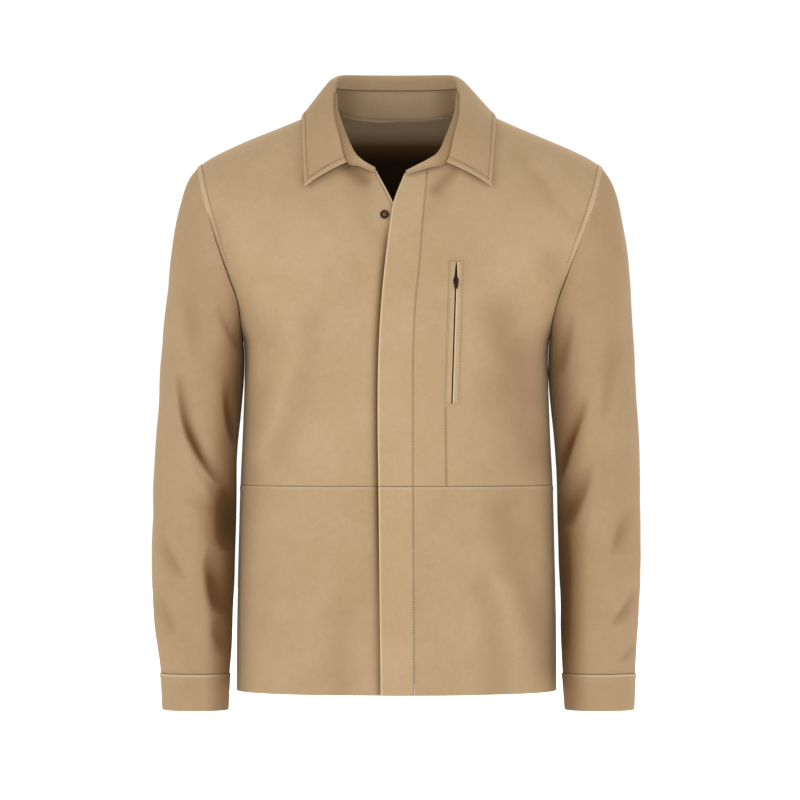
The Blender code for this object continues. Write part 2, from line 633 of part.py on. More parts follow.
def make_sleeves():
    """Sleeve tubes and cuff rings."""
    for side, sign in SIDES.items():
        grid, rim = sleeve_grid(side)
        axis = grid.mean(axis=1, keepdims=True)
        way = normals(grid, True)
        if np.sum(way * (grid - axis)) > 0.0:
            way = -way
        shared = np.array([item[0] for item in rim])
        share = np.array([item[1] for item in rim])
        way[0] = way[0] * (1 - share) + shared * share
        way[0] /= np.linalg.norm(way[0], axis=-1, keepdims=True)
        grid = draw_in(grid, ("v0", "v1"))
        solid(f"sleeve_{side}", grid, grid + way * SUEDE, wrap=True)

        angles = np.arange(2 * ARM_ROWS) * math.pi / ARM_ROWS
        z = np.linspace(CUFF_END_Z, CUFF_TOP_Z - SEAM / 2, CUFF_ROWS + 1)[:, None] + 0.0 * angles
        grid = sleeve_section(side, angles[None, :], z)
        axis = grid.mean(axis=1, keepdims=True)
        out = grid - axis
        out[..., 2] = 0.0
        grid = grid + out / np.linalg.norm(out, axis=-1, keepdims=True) * CUFF_PROUD
        wall(f"cuff_{side}", grid, DOUBLED, axis, wrap=True)


# ---------------------------------------------------------------- collar

def neck_point(side, way):
    """A point on the neck seam: 0 the front corner, 1 the shoulder line, 2 the middle back."""
    sign = SIDES[side]
    front_x = sign * smooth(way, NECK["way"], NECK[side + "_x"])
    front_z = smooth(way, NECK["way"], NECK[side + "_z"])
    front = front_point(side, front_x, front_z)
    back_x = sign * smooth(way - 1.0, BACK_NECK["way"], BACK_NECK["x"])
    back_z = smooth(way - 1.0, BACK_NECK["way"], BACK_NECK["z"])
    back = back_point(side, back_x, back_z)
    return np.where((way < 1.0)[:, None], front, back)


def round_off(controls, rows):
    """Cut the corners of each station's line of points three times, then space it evenly."""
    line = controls
    for _ in range(3):
        left = line[:, :-1] * 0.75 + line[:, 1:] * 0.25
        right = line[:, :-1] * 0.25 + line[:, 1:] * 0.75
        middle = np.stack((left, right), 2).reshape(len(line), -1, 3)
        line = np.concatenate((line[:, :1], middle, line[:, -1:]), axis=1)
    step = np.linalg.norm(np.diff(line, axis=1), axis=-1)
    length = np.concatenate((np.zeros((len(line), 1)), np.cumsum(step, axis=1)), axis=1)
    result = []
    for way, points in zip(length, line):
        at = np.linspace(0.0, way[-1], rows + 1)
        result.append(np.stack([np.interp(at, way, points[:, k]) for k in range(3)], -1))
    return np.array(result)


def collar_lines(side):
    """Half of the stand and of the leaf: four points for each station of each."""
    sign = SIDES[side]
    end = STAND_END[side]
    merged = {name: np.concatenate((COLLAR[name], end[name])) for name in end}

    def place(data, key):
        return np.stack((sign * data[key + "_x"], data[key + "_y"], data[key + "_z"]), -1)

    neck = neck_point(side, merged["neck"])
    roll = place(merged, "roll")
    seam = place(merged, "s")
    edge = place(LEAF_EDGE[side], "l")
    count = len(edge)
    outward = np.concatenate((edge, seam[count:])) - neck
    outward[:, 2] = 0.0
    outward /= np.linalg.norm(outward, axis=-1, keepdims=True)
    half = merged["width"][:, None] / 2
    station = merged["station"][:, None]
    turned, crossing = station > CROSSING, station == CROSSING
    level = np.where(turned, seam - roll, outward)
    level /= np.linalg.norm(level, axis=-1, keepdims=True)
    near, far = roll - level * half, roll + level * half * np.where(turned, TURNED_WIDTH, 1.0)
    seam = np.where(crossing, roll + (0.0, 0.0, 1.0), seam)
    stand = [neck,
             np.where(turned, near, neck * 0.67 + np.where(crossing, near, seam) * 0.33),
             np.where(turned, far, np.where(crossing, near, neck * 0.33 + seam * 0.67)),
             seam]
    seam, near, far = seam[:count], near[:count], far[:count]
    turned, crossing = turned[:count], crossing[:count]
    swell = np.array(LEAF_SWELL) * (sign, 1.0, 1.0)
    leaf = [seam,
            np.where(turned, seam * 0.75 + edge * 0.25 + swell * 0.6, np.where(crossing, far, near)),
            np.where(turned, seam * 0.4 + edge * 0.6 + swell,
                     np.where(crossing, far * 0.6 + edge * 0.4, far)),
            edge]
    return merged["station"], np.stack(stand, 1), np.stack(leaf, 1)


def along(stations, controls, at):
    """Control points at finer stations, each on a smooth curve through its column."""
    flat = controls.reshape(len(stations), -1)
    return np.stack([smooth(at, stations, flat[:, k]) for k in range(flat.shape[1])],
                    -1).reshape(len(at), 4, 3)


def make_collar():
    """Stand and leaf, each one piece from front end to front end."""
    stand_halves, leaf_halves = [], []
    for side in SIDES:
        stations, stand, leaf = collar_lines(side)
        at = np.concatenate((np.arange(0.0, FINE_FROM, STATION_STEP),
                             np.arange(FINE_FROM, FINE_TO, STATION_STEP / 2),
                             np.arange(FINE_TO, stations[-1] + 0.1, STATION_STEP)))
        stand = along(stations, stand, at)
        stand_halves.append(round_off(stand, STAND_ROWS))
        at = at[at <= LEAF_STATIONS]
        leaf = along(stations[:len(leaf)], leaf, at)
        leaf[:, 0] = stand[:len(at), -1]
        leaf_halves.append(round_off(leaf, LEAF_ROWS))
    stand, leaf = [np.concatenate((right[::-1][:-1], left), axis=0).transpose(1, 0, 2)
                   for right, left in (stand_halves, leaf_halves)]
    stand = draw_in(draw_in(stand, ("v0",), NECK_CLEAR), ("v1",), SEAM)
    leaf = draw_in(leaf, ("v0",), SEAM)
    stand_way, leaf_way = normals(stand, False), normals(leaf, False)
    beyond = (stand.shape[1] - leaf.shape[1]) // 2
    joined = slice(beyond, beyond + leaf.shape[1])
    seam_way = stand_way[-1, joined] + leaf_way[0]
    seam_way /= np.linalg.norm(seam_way, axis=-1, keepdims=True)
    stand_way[-1, joined] = seam_way
    leaf_way[0] = seam_way
    for name, grid, way in (("collar_stand", stand, stand_way), ("collar_leaf", leaf, leaf_way)):
        solid(name, grid - way * DOUBLED / 2, grid + way * DOUBLED / 2)


# ---------------------------------------------------------------- pocket and metal

def pocket_strip(x_from, x_to, way_from, way_to, rows, out, thick):
    """A strip on the left front: x is measured across the pocket from its middle line."""
    way = np.linspace(way_from, way_to, rows + 1)[:, None]
    across = np.linspace(x_from, x_to, 3)[None, :]
    x = POCKET_TOP[0] + (POCKET_END[0] - POCKET_TOP[0]) * way + across
    z = POCKET_TOP[1] + (POCKET_END[1] - POCKET_TOP[1]) * way + 0.0 * across
    under = front_point("left", x, z)
    lift = normals(under, False)
    if np.mean(lift[..., 1]) > 0.0:
        lift = -lift
    return under + lift * (out + thick), under + lift * out


def make_pocket():
    """Jets, zip chain, slider and the pull tab that swings on it."""
    half, slit = POCKET_WIDTH / 2, ZIP_WIDTH / 2 + SEAM
    solid("pocket_jet_inner", *pocket_strip(-half, -slit, 0.0, 1.0, POCKET_ROWS, LAY, JET_THICK))
    solid("pocket_jet_outer", *pocket_strip(slit, half, 0.0, 1.0, POCKET_ROWS, LAY, JET_THICK))
    solid("pocket_zip", *pocket_strip(-ZIP_WIDTH / 2, ZIP_WIDTH / 2, 0.01, 0.99, POCKET_ROWS,
                                      LAY, CHAIN_THICK), finish="zip_tape")
    run = math.hypot(POCKET_END[0] - POCKET_TOP[0], POCKET_END[1] - POCKET_TOP[1])
    base = LAY + JET_THICK + SEAM
    top = SLIDER_WAY
    low = top + SLIDER_SIZE[1] / run
    solid("zip_slider", *pocket_strip(-SLIDER_SIZE[0] / 2, SLIDER_SIZE[0] / 2, top, low, 2,
                                      base, SLIDER_THICK), finish="dark_brass")
    top += LUG_DROP / run
    low = top + PULL_SIZE[1] / run
    solid("zip_pull", *pocket_strip(-PULL_SIZE[0] / 2, PULL_SIZE[0] / 2, top, low, 1,
                                    base + SLIDER_THICK + SEAM, PULL_THICK), finish="dark_brass")


def make_stud():
    """Snap stud: a low ring with a dished middle, turned about the cloth's normal."""
    x, z = np.array(STUD_AT)
    base = front_point("right", x, z)
    du = front_point("right", x + 1.0, z) - front_point("right", x - 1.0, z)
    dv = front_point("right", x, z + 1.0) - front_point("right", x, z - 1.0)
    du /= np.linalg.norm(du)
    dv /= np.linalg.norm(dv)
    out = np.cross(du, dv)
    turns = np.arange(STUD_TURNS) * 2.0 * math.pi / STUD_TURNS
    ring = np.cos(turns)[:, None] * du + np.sin(turns)[:, None] * dv
    radius, height = STUD_PROFILE["radius"], STUD_PROFILE["height"]
    grid = base + radius[:, None, None] * ring + height[:, None, None] * out
    points = grid.reshape(-1, 3) * MM
    count = len(turns)
    faces = []
    for row in range(len(radius) - 1):
        for k in range(count):
            nxt = (k + 1) % count
            faces.append((row * count + k, (row + 1) * count + k,
                          (row + 1) * count + nxt, row * count + nxt))
    faces.append(tuple(range(count)))
    faces.append(tuple(reversed(range(len(points) - count, len(points)))))
    mesh = bpy.data.meshes.new("snap_stud")
    mesh.from_pydata(points.tolist(), [], faces)
    mesh.update()
    mesh.shade_smooth()
    mesh.set_sharp_from_angle(angle=math.radians(35))
    mesh.materials.append(material("dark_brass"))
    bpy.context.collection.objects.link(bpy.data.objects.new("snap_stud", mesh))


for leftover in list(bpy.data.objects):
    bpy.data.objects.remove(leftover, do_unlink=True)
make_fronts()
make_placket()
make_back()
make_sleeves()
make_collar()
make_pocket()
make_stud()
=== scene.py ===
import math

import bpy
import numpy as np
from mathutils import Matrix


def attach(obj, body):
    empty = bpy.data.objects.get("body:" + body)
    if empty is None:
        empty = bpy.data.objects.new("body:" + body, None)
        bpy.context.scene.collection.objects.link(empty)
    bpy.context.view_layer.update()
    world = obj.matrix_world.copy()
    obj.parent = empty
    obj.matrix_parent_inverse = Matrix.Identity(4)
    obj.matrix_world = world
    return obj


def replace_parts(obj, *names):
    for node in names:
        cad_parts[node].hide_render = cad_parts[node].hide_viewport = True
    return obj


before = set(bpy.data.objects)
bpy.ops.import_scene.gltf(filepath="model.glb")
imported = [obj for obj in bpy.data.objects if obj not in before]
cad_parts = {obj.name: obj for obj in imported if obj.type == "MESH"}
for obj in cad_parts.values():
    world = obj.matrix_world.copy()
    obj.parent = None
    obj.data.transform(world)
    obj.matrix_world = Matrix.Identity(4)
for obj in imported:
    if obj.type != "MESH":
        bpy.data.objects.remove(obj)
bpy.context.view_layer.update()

# Suede shirt jacket, filled out as if worn. Sizes and tables are in millimetres in the frame's
# own axes: x to the wearer's left, y to the back, z up. They become metres where a mesh is made.
mm = 0.001
sideSigns = {"right": -1.0, "left": 1.0}


# Small tools

def columns(names, *rows):   # a small table: one numpy column for each name
    return dict(zip(names.split(), np.array(rows, float).T))


def smooth(at, places, values):   # cubic curve through places and values, level outside its ends
    places, values = np.asarray(places, float), np.asarray(values, float)
    at = np.clip(at, places[0], places[-1])
    slope = np.gradient(values, places)
    cell = np.clip(np.searchsorted(places, at, side="right") - 1, 0, len(places) - 2)
    span = places[cell + 1] - places[cell]
    t = (at - places[cell]) / span
    return ((1 + 2 * t) * (1 - t) ** 2 * values[cell] + t * (1 - t) ** 2 * span * slope[cell]
            + t * t * (3 - 2 * t) * values[cell + 1] + t * t * (t - 1) * span * slope[cell + 1])


def ease(t):   # 0 to 1 with level ends: 3t² - 2t³
    t = np.clip(t, 0.0, 1.0)
    return t * t * (3.0 - 2.0 * t)


def bell(distance, half):   # 1 on the line, falling off as exp of minus the distance squared
    return np.exp(-(distance / half) ** 2)


def unit(vectors):   # each vector divided by its own length
    return vectors / np.maximum(np.linalg.norm(vectors, axis=-1, keepdims=True), 1e-12)


def lengthsAlong(grid, axis):   # arc length from the grid's first line, summed along one axis
    step = np.linalg.norm(np.diff(grid, axis=axis), axis=-1)
    pad = [(0, 0), (0, 0)]
    pad[axis] = (1, 0)
    return np.cumsum(np.pad(step, pad), axis=axis)


def pointsAt(values, lengths, target):
    # What each row holds where the length along it reaches the target, on a straight line between
    # the two places round it
    rows = np.arange(len(values))
    low = np.clip((lengths < np.reshape(target, (-1, 1))).sum(1) - 1, 0, values.shape[1] - 2)
    t = ((target - lengths[rows, low]) / (lengths[rows, low + 1] - lengths[rows, low]))[:, None]
    return values[rows, low] * (1 - t) + values[rows, low + 1] * t


def gradedWay(length, step, gaps=(0.05, 0.05), turns=(0.7, 0.7), lines=()):
    # Places from 0 to 1 along a length: even steps, with closer ones where an edge is turned over
    # and round each stitch line. The gaps leave half a seam free at the ends.
    quarter = 1.0 - np.cos(np.linspace(0.0, math.pi / 2, 4))
    besideLine = np.linspace(-1.6, 1.6, 7)
    fine = np.concatenate((gaps[0] + turns[0] * quarter, length - gaps[1] - turns[1] * quarter,
                           *[line + besideLine for line in lines]))
    even = np.linspace(gaps[0], length - gaps[1], int(round(length / step)) + 1)
    clear = np.abs(even[:, None] - fine[None, :]).min(1) > 0.3 * step
    return np.unique(np.concatenate((fine, even[clear]))) / length


def inwardWays(grid, wrap, centre):
    # Unit normals of a grid: the product of its two differences, turned towards its centre
    if wrap:
        across = np.roll(grid, -1, axis=1) - np.roll(grid, 1, axis=1)
    else:
        across = np.gradient(grid, axis=1)
    way = unit(np.cross(across, np.gradient(grid, axis=0)))
    return -way if np.sum(way * (grid - centre)) > 0.0 else way


def bodyAxis(grid):   # the point of the upright axis at each point's height
    return grid * (0.0, 0.0, 1.0)


# The body's form, shared by the panels, the sleeves and the collar

bodyForm = {
    "hemZ": -685.5, "waistZ": -440.0, "underarmZ": -266.0, "shoulderPointZ": -59.5,
    "neckHalf": 74.0,            # neck seam on the shoulder line, from the middle
    "sectionPower": 2.3,         # of the superellipse that each level section follows
    "edgeFade": 34.0,            # soft unevenness starts this far from the side
    "roundIn": 40.0,             # depth at which folds and unevenness are full
    "frontRound": 100.0, "backRound": 90.0,   # height over which the shoulder rounds over
    "armholeRound": 105.0,
    "placketLift": 3.4,          # the left front lies this far outside the right one
    "underlapDrop": 2.2, "dropRun": 15.0,     # the right front falls in under the placket
    "dropFrom": -95.0, "dropTo": -150.0,
    "liftFrom": 45.0, "liftTo": 130.0,
    "cornerShare": 9.0 / 14.0,   # share of the way up the armhole that the neck corner stands at
    "placketWay": 0.262,         # where the placket's seam meets the left neck seam
    "driftRise": 0.9,            # height of that unevenness
    "seed": 11}

bodyDepth = columns("z        front  frontEdge  back   backEdge",
                    (-686.0,  130.0, 80.0,      121.0, 76.0),
                    (-560.0,  129.0, 80.0,      116.0, 76.0),
                    (-440.0,  131.0, 80.0,      112.0, 76.0),
                    (-340.0,  134.0, 80.0,      118.0, 76.0),
                    (-266.0,  134.0, 80.0,      124.0, 76.0),
                    (-200.0,  128.0, 80.0,      124.0, 76.0),
                    (-120.0,  112.0, 79.0,      118.0, 75.0),
                    (-60.0,   86.0,  72.0,      107.0, 72.0),
                    (-20.0,   78.0,  64.0,      110.0, 66.0),
                    (20.0,    74.0,  58.0,      118.0, 62.0))

bodyEdge = columns("z        right  left",   # side seam, and above the underarm the armhole seam
                   (-686.0,  191.8, 192.0),
                   (-602.0,  191.2, 191.4),
                   (-518.0,  189.4, 189.4),
                   (-446.0,  187.4, 187.6),
                   (-374.0,  184.2, 184.0),
                   (-310.0,  182.2, 182.0),
                   (-280.0,  182.2, 182.0),
                   (-266.0,  183.5, 183.4),
                   (-250.0,  185.2, 184.8),
                   (-222.0,  188.5, 191.0),
                   (-193.0,  198.8, 201.6),
                   (-161.0,  210.3, 213.4),
                   (-132.0,  219.6, 224.7),
                   (-98.0,   229.5, 236.5),
                   (-59.5,   238.9, 247.0))

shoulderLine = columns("way   right  left",  # from the neck (0) to the shoulder point (1)
                       (0.00, 19.0,  19.0),
                       (0.23, -0.5,  2.8),
                       (0.39, -11.6, -9.6),
                       (0.62, -26.6, -26.2),
                       (0.78, -38.0, -38.0),
                       (0.92, -50.2, -50.2),
                       (1.00, -59.5, -59.5))

# The right front's edge, the placket's free edge and the placket's seam
frontEdge = columns("z        right  placket  seam",
                    (-686.0,  20.5,  -18.5,   21.4),
                    (-573.0,  20.5,  -19.8,   20.8),
                    (-440.0,  20.5,  -21.2,   20.0),
                    (-361.0,  20.5,  -22.1,   19.9),
                    (-283.0,  20.3,  -21.2,   20.2),
                    (-221.0,  19.0,  -17.8,   23.0),
                    (-173.0,  14.6,  -13.1,   28.0),
                    (-131.0,  6.2,   -7.9,    31.1),
                    (-104.0,  -4.2,  -3.4,    33.6),
                    (-66.3,   -23.8, 11.0,    37.1),
                    (-52.0,   -31.0, 16.0,    38.4))

# The neck seam from the front corner to the shoulder line, and on to the middle of the back
neckSeam = columns("way   rightX  rightZ  leftX  leftZ",
                   (0.00, 23.8,   -66.3,  9.4,   -69.8),
                   (0.15, 36.0,   -61.2,  26.0,  -64.0),
                   (0.32, 48.5,   -52.5,  43.0,  -54.5),
                   (0.50, 59.5,   -37.5,  57.0,  -39.5),
                   (0.68, 68.5,   -17.0,  67.5,  -18.5),
                   (0.85, 73.0,   4.5,    73.0,  4.0),
                   (1.00, 74.0,   19.0,   74.0,  19.0))
backNeck = columns("way   x     z",
                   (0.00, 74.0, 19.0),
                   (0.20, 73.0, 15.0),
                   (0.40, 68.0, 9.0),
                   (0.62, 52.0, 3.5),
                   (0.80, 28.0, 0.8),
                   (1.00, 0.0,  0.0))

# Folds of the fronts: a line from start to end as seen from the front, its half width, and its
# rise (+) or fall (-)
bodyFolds = columns("x0      z0      x1      z1      half   rise",
                    (-60.0,  -56.0,  -36.0,  -96.0,  15.0,  -2.0),
                    (-44.0,  -92.0,  -14.0,  -150.0, 13.0,  -1.6),
                    (-219.0, -128.0, -190.0, -206.0, 16.0,  -3.6),
                    (-196.0, -214.0, -150.0, -262.0, 18.0,  -2.4),
                    (-98.0,  -244.0, -112.0, -310.0, 18.0,  -3.0),
                    (-112.0, -310.0, -140.0, -400.0, 20.0,  -3.4),
                    (-158.0, -330.0, -176.0, -430.0, 20.0,  -2.4),
                    (-124.0, -270.0, -160.0, -400.0, 16.0,  1.8),
                    (-62.0,  -590.0, -67.0,  -690.0, 20.0,  -3.0),
                    (-140.0, -540.0, -166.0, -640.0, 18.0,  -2.0),
                    (-104.0, -500.0, -180.0, -662.0, 20.0,  2.6),
                    (146.0,  -48.0,  212.0,  -128.0, 14.0,  -2.6),
                    (168.0,  -58.0,  206.0,  -112.0, 9.0,   1.4),
                    (186.0,  -168.0, 198.0,  -206.0, 16.0,  -3.0),
                    (112.0,  -236.0, 130.0,  -280.0, 20.0,  -3.2),
                    (130.0,  -280.0, 166.0,  -400.0, 22.0,  -3.6),
                    (96.0,   -290.0, 122.0,  -420.0, 16.0,  1.6),
                    (127.0,  -470.0, 180.0,  -648.0, 22.0,  -4.4),
                    (100.0,  -560.0, 124.0,  -690.0, 20.0,  -3.0),
                    (132.0,  -560.0, 158.0,  -680.0, 14.0,  1.8),
                    (60.0,   -470.0, 84.0,   -600.0, 20.0,  1.8),
                    (56.0,   -96.0,  24.0,   -132.0, 12.0,  -1.4))


def edgeX(side, z):   # how far out the side seam, or the armhole seam above it, stands
    return smooth(z, bodyEdge["z"], bodyEdge[side])


def shoulderZ(side, x):   # height of the shoulder line
    outer = bodyEdge[side][-1]
    way = (np.abs(x) - bodyForm["neckHalf"]) / (outer - bodyForm["neckHalf"])
    return smooth(way, shoulderLine["way"], shoulderLine[side])


def formDepth(side, face, x, z):
    # Each level section is a superellipse that meets the side seam or the armhole's edge, and the
    # depth falls to nothing as a quarter circle towards the shoulder line.
    power = bodyForm["sectionPower"]
    full = smooth(z, bodyDepth["z"], bodyDepth[face])
    rise = np.clip((z - bodyForm["underarmZ"]) / bodyForm["armholeRound"], 0.0, 1.0)
    edge = smooth(z, bodyDepth["z"], bodyDepth[face + "Edge"]) * np.sqrt(1.0 - (1.0 - rise) ** 2)
    reach = edgeX(side, z) / (1.0 - (edge / full) ** power) ** (1.0 / power)
    out = np.clip(np.abs(x) / reach, 0.0, 1.0)
    drop = np.clip((shoulderZ(side, x) - z) / bodyForm[face + "Round"], 0.0, 1.0)
    return full * (1.0 - out ** power) ** (1.0 / power) * np.sqrt(1.0 - (1.0 - drop) ** 2)


def foldRise(folds, x, z):
    # Each fold is a bell across its line, rounded at its ends. The highest ridge and the deepest
    # crease count at each place, and slow waves keep the lines from running straight.
    x = x + 3.0 * np.sin(z / 27.0 + x / 60.0) + 1.6 * np.sin(z / 11.0 - x / 23.0)
    ridge, crease = np.zeros((2, *x.shape))
    for x0, z0, x1, z1, half, rise in zip(*folds.values()):
        runX, runZ = x1 - x0, z1 - z0
        near = np.clip(((x - x0) * runX + (z - z0) * runZ) / (runX ** 2 + runZ ** 2), 0.0, 1.0)
        part = rise * bell(np.hypot(x - x0 - near * runX, z - z0 - near * runZ), half)
        ridge, crease = np.maximum(ridge, part), np.minimum(crease, part)
    return ridge + crease


def softWaves(across, up, seed, lengths=(46.0, 150.0), count=14):
    # A sum of waves in drawn directions, lengths and phases, mostly running up and down the cloth
    draw = np.random.default_rng(seed)
    total = np.zeros(np.broadcast(across, up).shape)
    for size in np.geomspace(*lengths, count):
        turn = draw.normal(0.0, 0.55)
        phase = draw.uniform(0.0, 2.0 * math.pi)
        run = across * math.cos(turn) + up * math.sin(turn)
        total = total + (size / lengths[1]) ** 0.7 * np.sin(2.0 * math.pi * run / size + phase)
    return total / math.sqrt(count)


def frontPoint(side, x, z):   # a point on a front, given where it is seen from the front
    depth = formDepth(side, "front", x, z)
    fade = ease(depth / bodyForm["roundIn"])
    inside = ease((edgeX(side, z) - np.abs(x)) / bodyForm["edgeFade"])
    drift = bodyForm["driftRise"] * inside * softWaves(x, z, bodyForm["seed"])
    depth = depth + fade * (foldRise(bodyFolds, x, z) + drift)
    if side == "left":
        run = (x - bodyForm["liftFrom"]) / (bodyForm["liftTo"] - bodyForm["liftFrom"])
        depth = depth + bodyForm["placketLift"] * fade * (1.0 - ease(run))
    else:
        under = x - smooth(z, frontEdge["z"], frontEdge["placket"])
        down = ease((bodyForm["dropFrom"] - z) / (bodyForm["dropFrom"] - bodyForm["dropTo"]))
        depth = depth - bodyForm["underlapDrop"] * down * ease(1.0 + under / bodyForm["dropRun"])
    return np.stack(np.broadcast_arrays(x, -depth, z), axis=-1)


def backPoint(side, x, z):   # a point on the back, given where it is seen from behind
    return np.stack(np.broadcast_arrays(x, formDepth(side, "back", x, z), z), axis=-1)


def armLevels(way):   # heights up the armhole: closer together at the underarm and at the shoulder
    low, high = bodyForm["underarmZ"], bodyForm["shoulderPointZ"]
    share = (1.0 - np.cos(np.asarray(way) * math.pi)) / 2.0
    return share, low + (high - low) * share


# Cloth walls

clothSizes = {
    "suede": 1.4, "doubled": 2.4, "placket": 2.6,      # thicknesses
    "turn": 0.7, "hemTurn": 1.0}                       # how far a cut edge and a hem are rounded

suedeShade = {                   # share of the light that the cloth loses, from 0 to 1
    # The first entry is an even painted shade over each panel, most on the sleeves and cuffs
    "panelShade": {"upper": 0.02, "lower": 0.05, "sleeve": 0.12, "cuff": 0.12, "collar": 0.09},
    "crease": 0.16, "sleeveCrease": 0.42,
    "creaseFall": 6.0,           # depth of a crease that has it all
    "armSide": (-0.25, 0.7),     # cosine round the arm where its inner side starts, and the run
    "underlap": 0.5, "underlapRun": 5.0,               # along the placket's edge
    "inside": 0.6, "sleeveInside": 0.75, "cuffInside": 0.5,
    "backInside": 0.95, "backRun": (-2.0, -50.0)}      # z where it starts and where it is full

# Soft shadows on the fronts, under the collar and in two wide hollows, laid out as the folds
frontShadows = columns("x0      z0      x1     z1      half  rise",
                       (-70.0,  -52.0,  -36.0, -78.0,  9.0,  -0.28),
                       (-104.0, -76.0,  -72.0, -60.0,  6.0,  -0.22),
                       (74.0,   -54.0,  46.0,  -90.0,  9.0,  -0.22),
                       (104.0,  -74.0,  72.0,  -59.0,  6.0,  -0.20),
                       (126.0,  -236.0, 158.0, -330.0, 24.0, -0.10),
                       (118.0,  -330.0, 136.0, -424.0, 34.0, -0.10))

# How each edge or seam is painted paler (+) or darker (-), and the half width of that line.
# Pale lines are painted highlights on edges, folds, lips and raised lanes, partly also rubbing;
# dark lines are painted shade in seams and stitched grooves, and the sides get painted light.
edgeWearAndLight = {
    "hem": (0.45, 1.4), "waistFold": (0.9, 1.3), "waistSeam": (-0.6, 1.0),
    "bandSeam": (-0.15, 0.6), "bandFold": (1.5, 1.1), "side": (1.3, 4.5), "armSeam": (0.6, 1.0),
    "armLane": (-0.5, 0.8), "shoulderLane": (-0.5, 0.8), "panelSeam": (-0.7, 0.8),
    "openEdge": (0.9, 1.5), "openLane": (-0.9, 0.8), "lapEdge": (0.5, 1.0),
    "cuffSeam": (-0.3, 1.6), "cuffTop": (2.0, 1.5), "cuffEnd": (0.5, 1.3),
    "leafEdge": (0.7, 1.0), "leafLane": (-0.5, 0.7), "leafSides": (-0.4, 0.8),
    "leafFoot": (-0.4, 1.0), "standEnds": (0.5, 1.2), "standFoot": (0.35, 1.0),
    "standPiping": (0.9, 0.9), "standLane": (-0.9, 0.8),
    "weltLip": (1.6, 0.9), "innerLip": (0.2, 0.9), "weltEdge": (0.25, 0.9)}

armShade = columns("z        right  left",      # on the sleeve's face towards the body
                   (-712.0,  0.25,  0.25),
                   (-600.0,  0.40,  0.45),
                   (-470.0,  0.38,  0.36),
                   (-400.0,  0.30,  0.24),
                   (-300.0,  0.40,  0.30),
                   (-200.0,  0.20,  0.05),
                   (-130.0,  0.0,   0.0))


# A painted line along an edge or seam: highlight where its strength is positive, shade where
# negative
def wearLine(kind, distance):   # its strength times a bell of the distance from it
    strength, half = edgeWearAndLight[kind]
    return strength * bell(distance, half)


def placeMesh(name, mesh, material, attributes=None):   # a mesh's object, with point attributes
    for key, values in (attributes or {}).items():
        layer = mesh.attributes.new(key, "FLOAT", "POINT")
        layer.data.foreach_set("value", np.asarray(values, np.float32).ravel())
    mesh.shade_smooth()
    mesh.materials.append(material)
    item = bpy.data.objects.new(name, mesh)
    bpy.context.scene.collection.objects.link(item)
    return item


def putMesh(name, points, faces, material, attributes=None):   # the same, from whole arrays in mm
    mesh = bpy.data.meshes.new(name)
    mesh.vertices.add(len(points))
    mesh.vertices.foreach_set("co", (np.asarray(points) * mm).astype(np.float32).ravel())
    sizes = faces.shape[1]
    mesh.loops.add(faces.size)
    mesh.loops.foreach_set("vertex_index", faces.astype(np.int32).ravel())
    mesh.polygons.add(len(faces))
    mesh.polygons.foreach_set("loop_start", np.arange(0, faces.size, sizes, dtype=np.int32))
    mesh.update(calc_edges=True)
    mesh.validate()
    return placeMesh(name, mesh, material, attributes)


def clothWall(name, grid, way, thick, material, turns, wrap=False,
              wear=0.0, shade=0.0, hollow=0.0, innerWear=0.0):
    # A closed wall under a grid of outer points. Towards each edge the two faces close on the
    # middle of the wall as a quarter circle of the edge's own radius, so that they share the
    # edge's points. Two values paint the outer and the inner face paler or darker: painted
    # highlights and painted shade, partly also rubbing. shade and hollow are painted shade, the
    # light that each face loses. v0 and v1 end the rows, u0 and u1 the columns.
    rows, count = grid.shape[:2]
    up, across = lengthsAlong(grid, 0), lengthsAlong(grid, 1)
    ends = {"v0": up, "v1": up[-1:] - up, "u0": across, "u1": across[:, -1:] - across}
    opened = np.ones((rows, count))
    for edge, radius in turns.items():
        opened = opened * np.sqrt(1.0 - (1.0 - np.clip(ends[edge] / radius, 0.0, 1.0)) ** 2)
    outer = grid + way * (thick / 2 * (1.0 - opened))[..., None]
    inner = grid + way * (thick / 2 * (1.0 + opened))[..., None]
    index = np.arange(rows * count).reshape(rows, count)
    rim = np.zeros((rows, count), bool)
    rim[[0, -1]] = True
    if not wrap:
        rim[:, [0, -1]] = True
    back = index.copy()
    back[~rim] = rows * count + np.arange((~rim).sum())
    points = np.concatenate((outer.reshape(-1, 3), inner[~rim]))
    faces = []
    for sheet, flip in ((index, False), (back, True)):
        if wrap:
            sheet = np.concatenate((sheet, sheet[:, :1]), axis=1)
        quad = np.stack((sheet[:-1, :-1], sheet[:-1, 1:], sheet[1:, 1:], sheet[1:, :-1]), -1)
        quad = quad.reshape(-1, 4)
        faces.append(quad[:, ::-1] if flip else quad)
    faces = np.concatenate(faces)
    if signedVolume(points, faces) < 0.0:
        faces = faces[:, ::-1]
    wear, shade, hollow, innerWear = [np.broadcast_to(values, (rows, count))
                                      for values in (wear, shade, hollow, innerWear)]
    attributes = {"wear": np.concatenate((wear.ravel(), innerWear[~rim])),
                  "shade": np.concatenate((shade.ravel(), hollow[~rim]))}
    item = putMesh(name, points, faces, material, attributes)
    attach(item, "jacket")
    return item


def sewPanel(node, grid, way, thick, material, turns, **faces):
    # A suede wall in place of its node, given back as its grid and ways for the stitching
    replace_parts(clothWall("suede_" + node, grid, way, thick, material, turns, **faces), node)
    return {"grid": grid, "way": way}


def signedVolume(points, faces):
    # Six times the volume, as the sum of each face's corner times the product of its next two:
    # positive where the faces point outwards
    corner = points[faces]
    return sum(np.einsum("ij,ij->", corner[:, 0], np.cross(corner[:, k], corner[:, k + 1]))
               for k in (1, 2))


# Fronts and placket

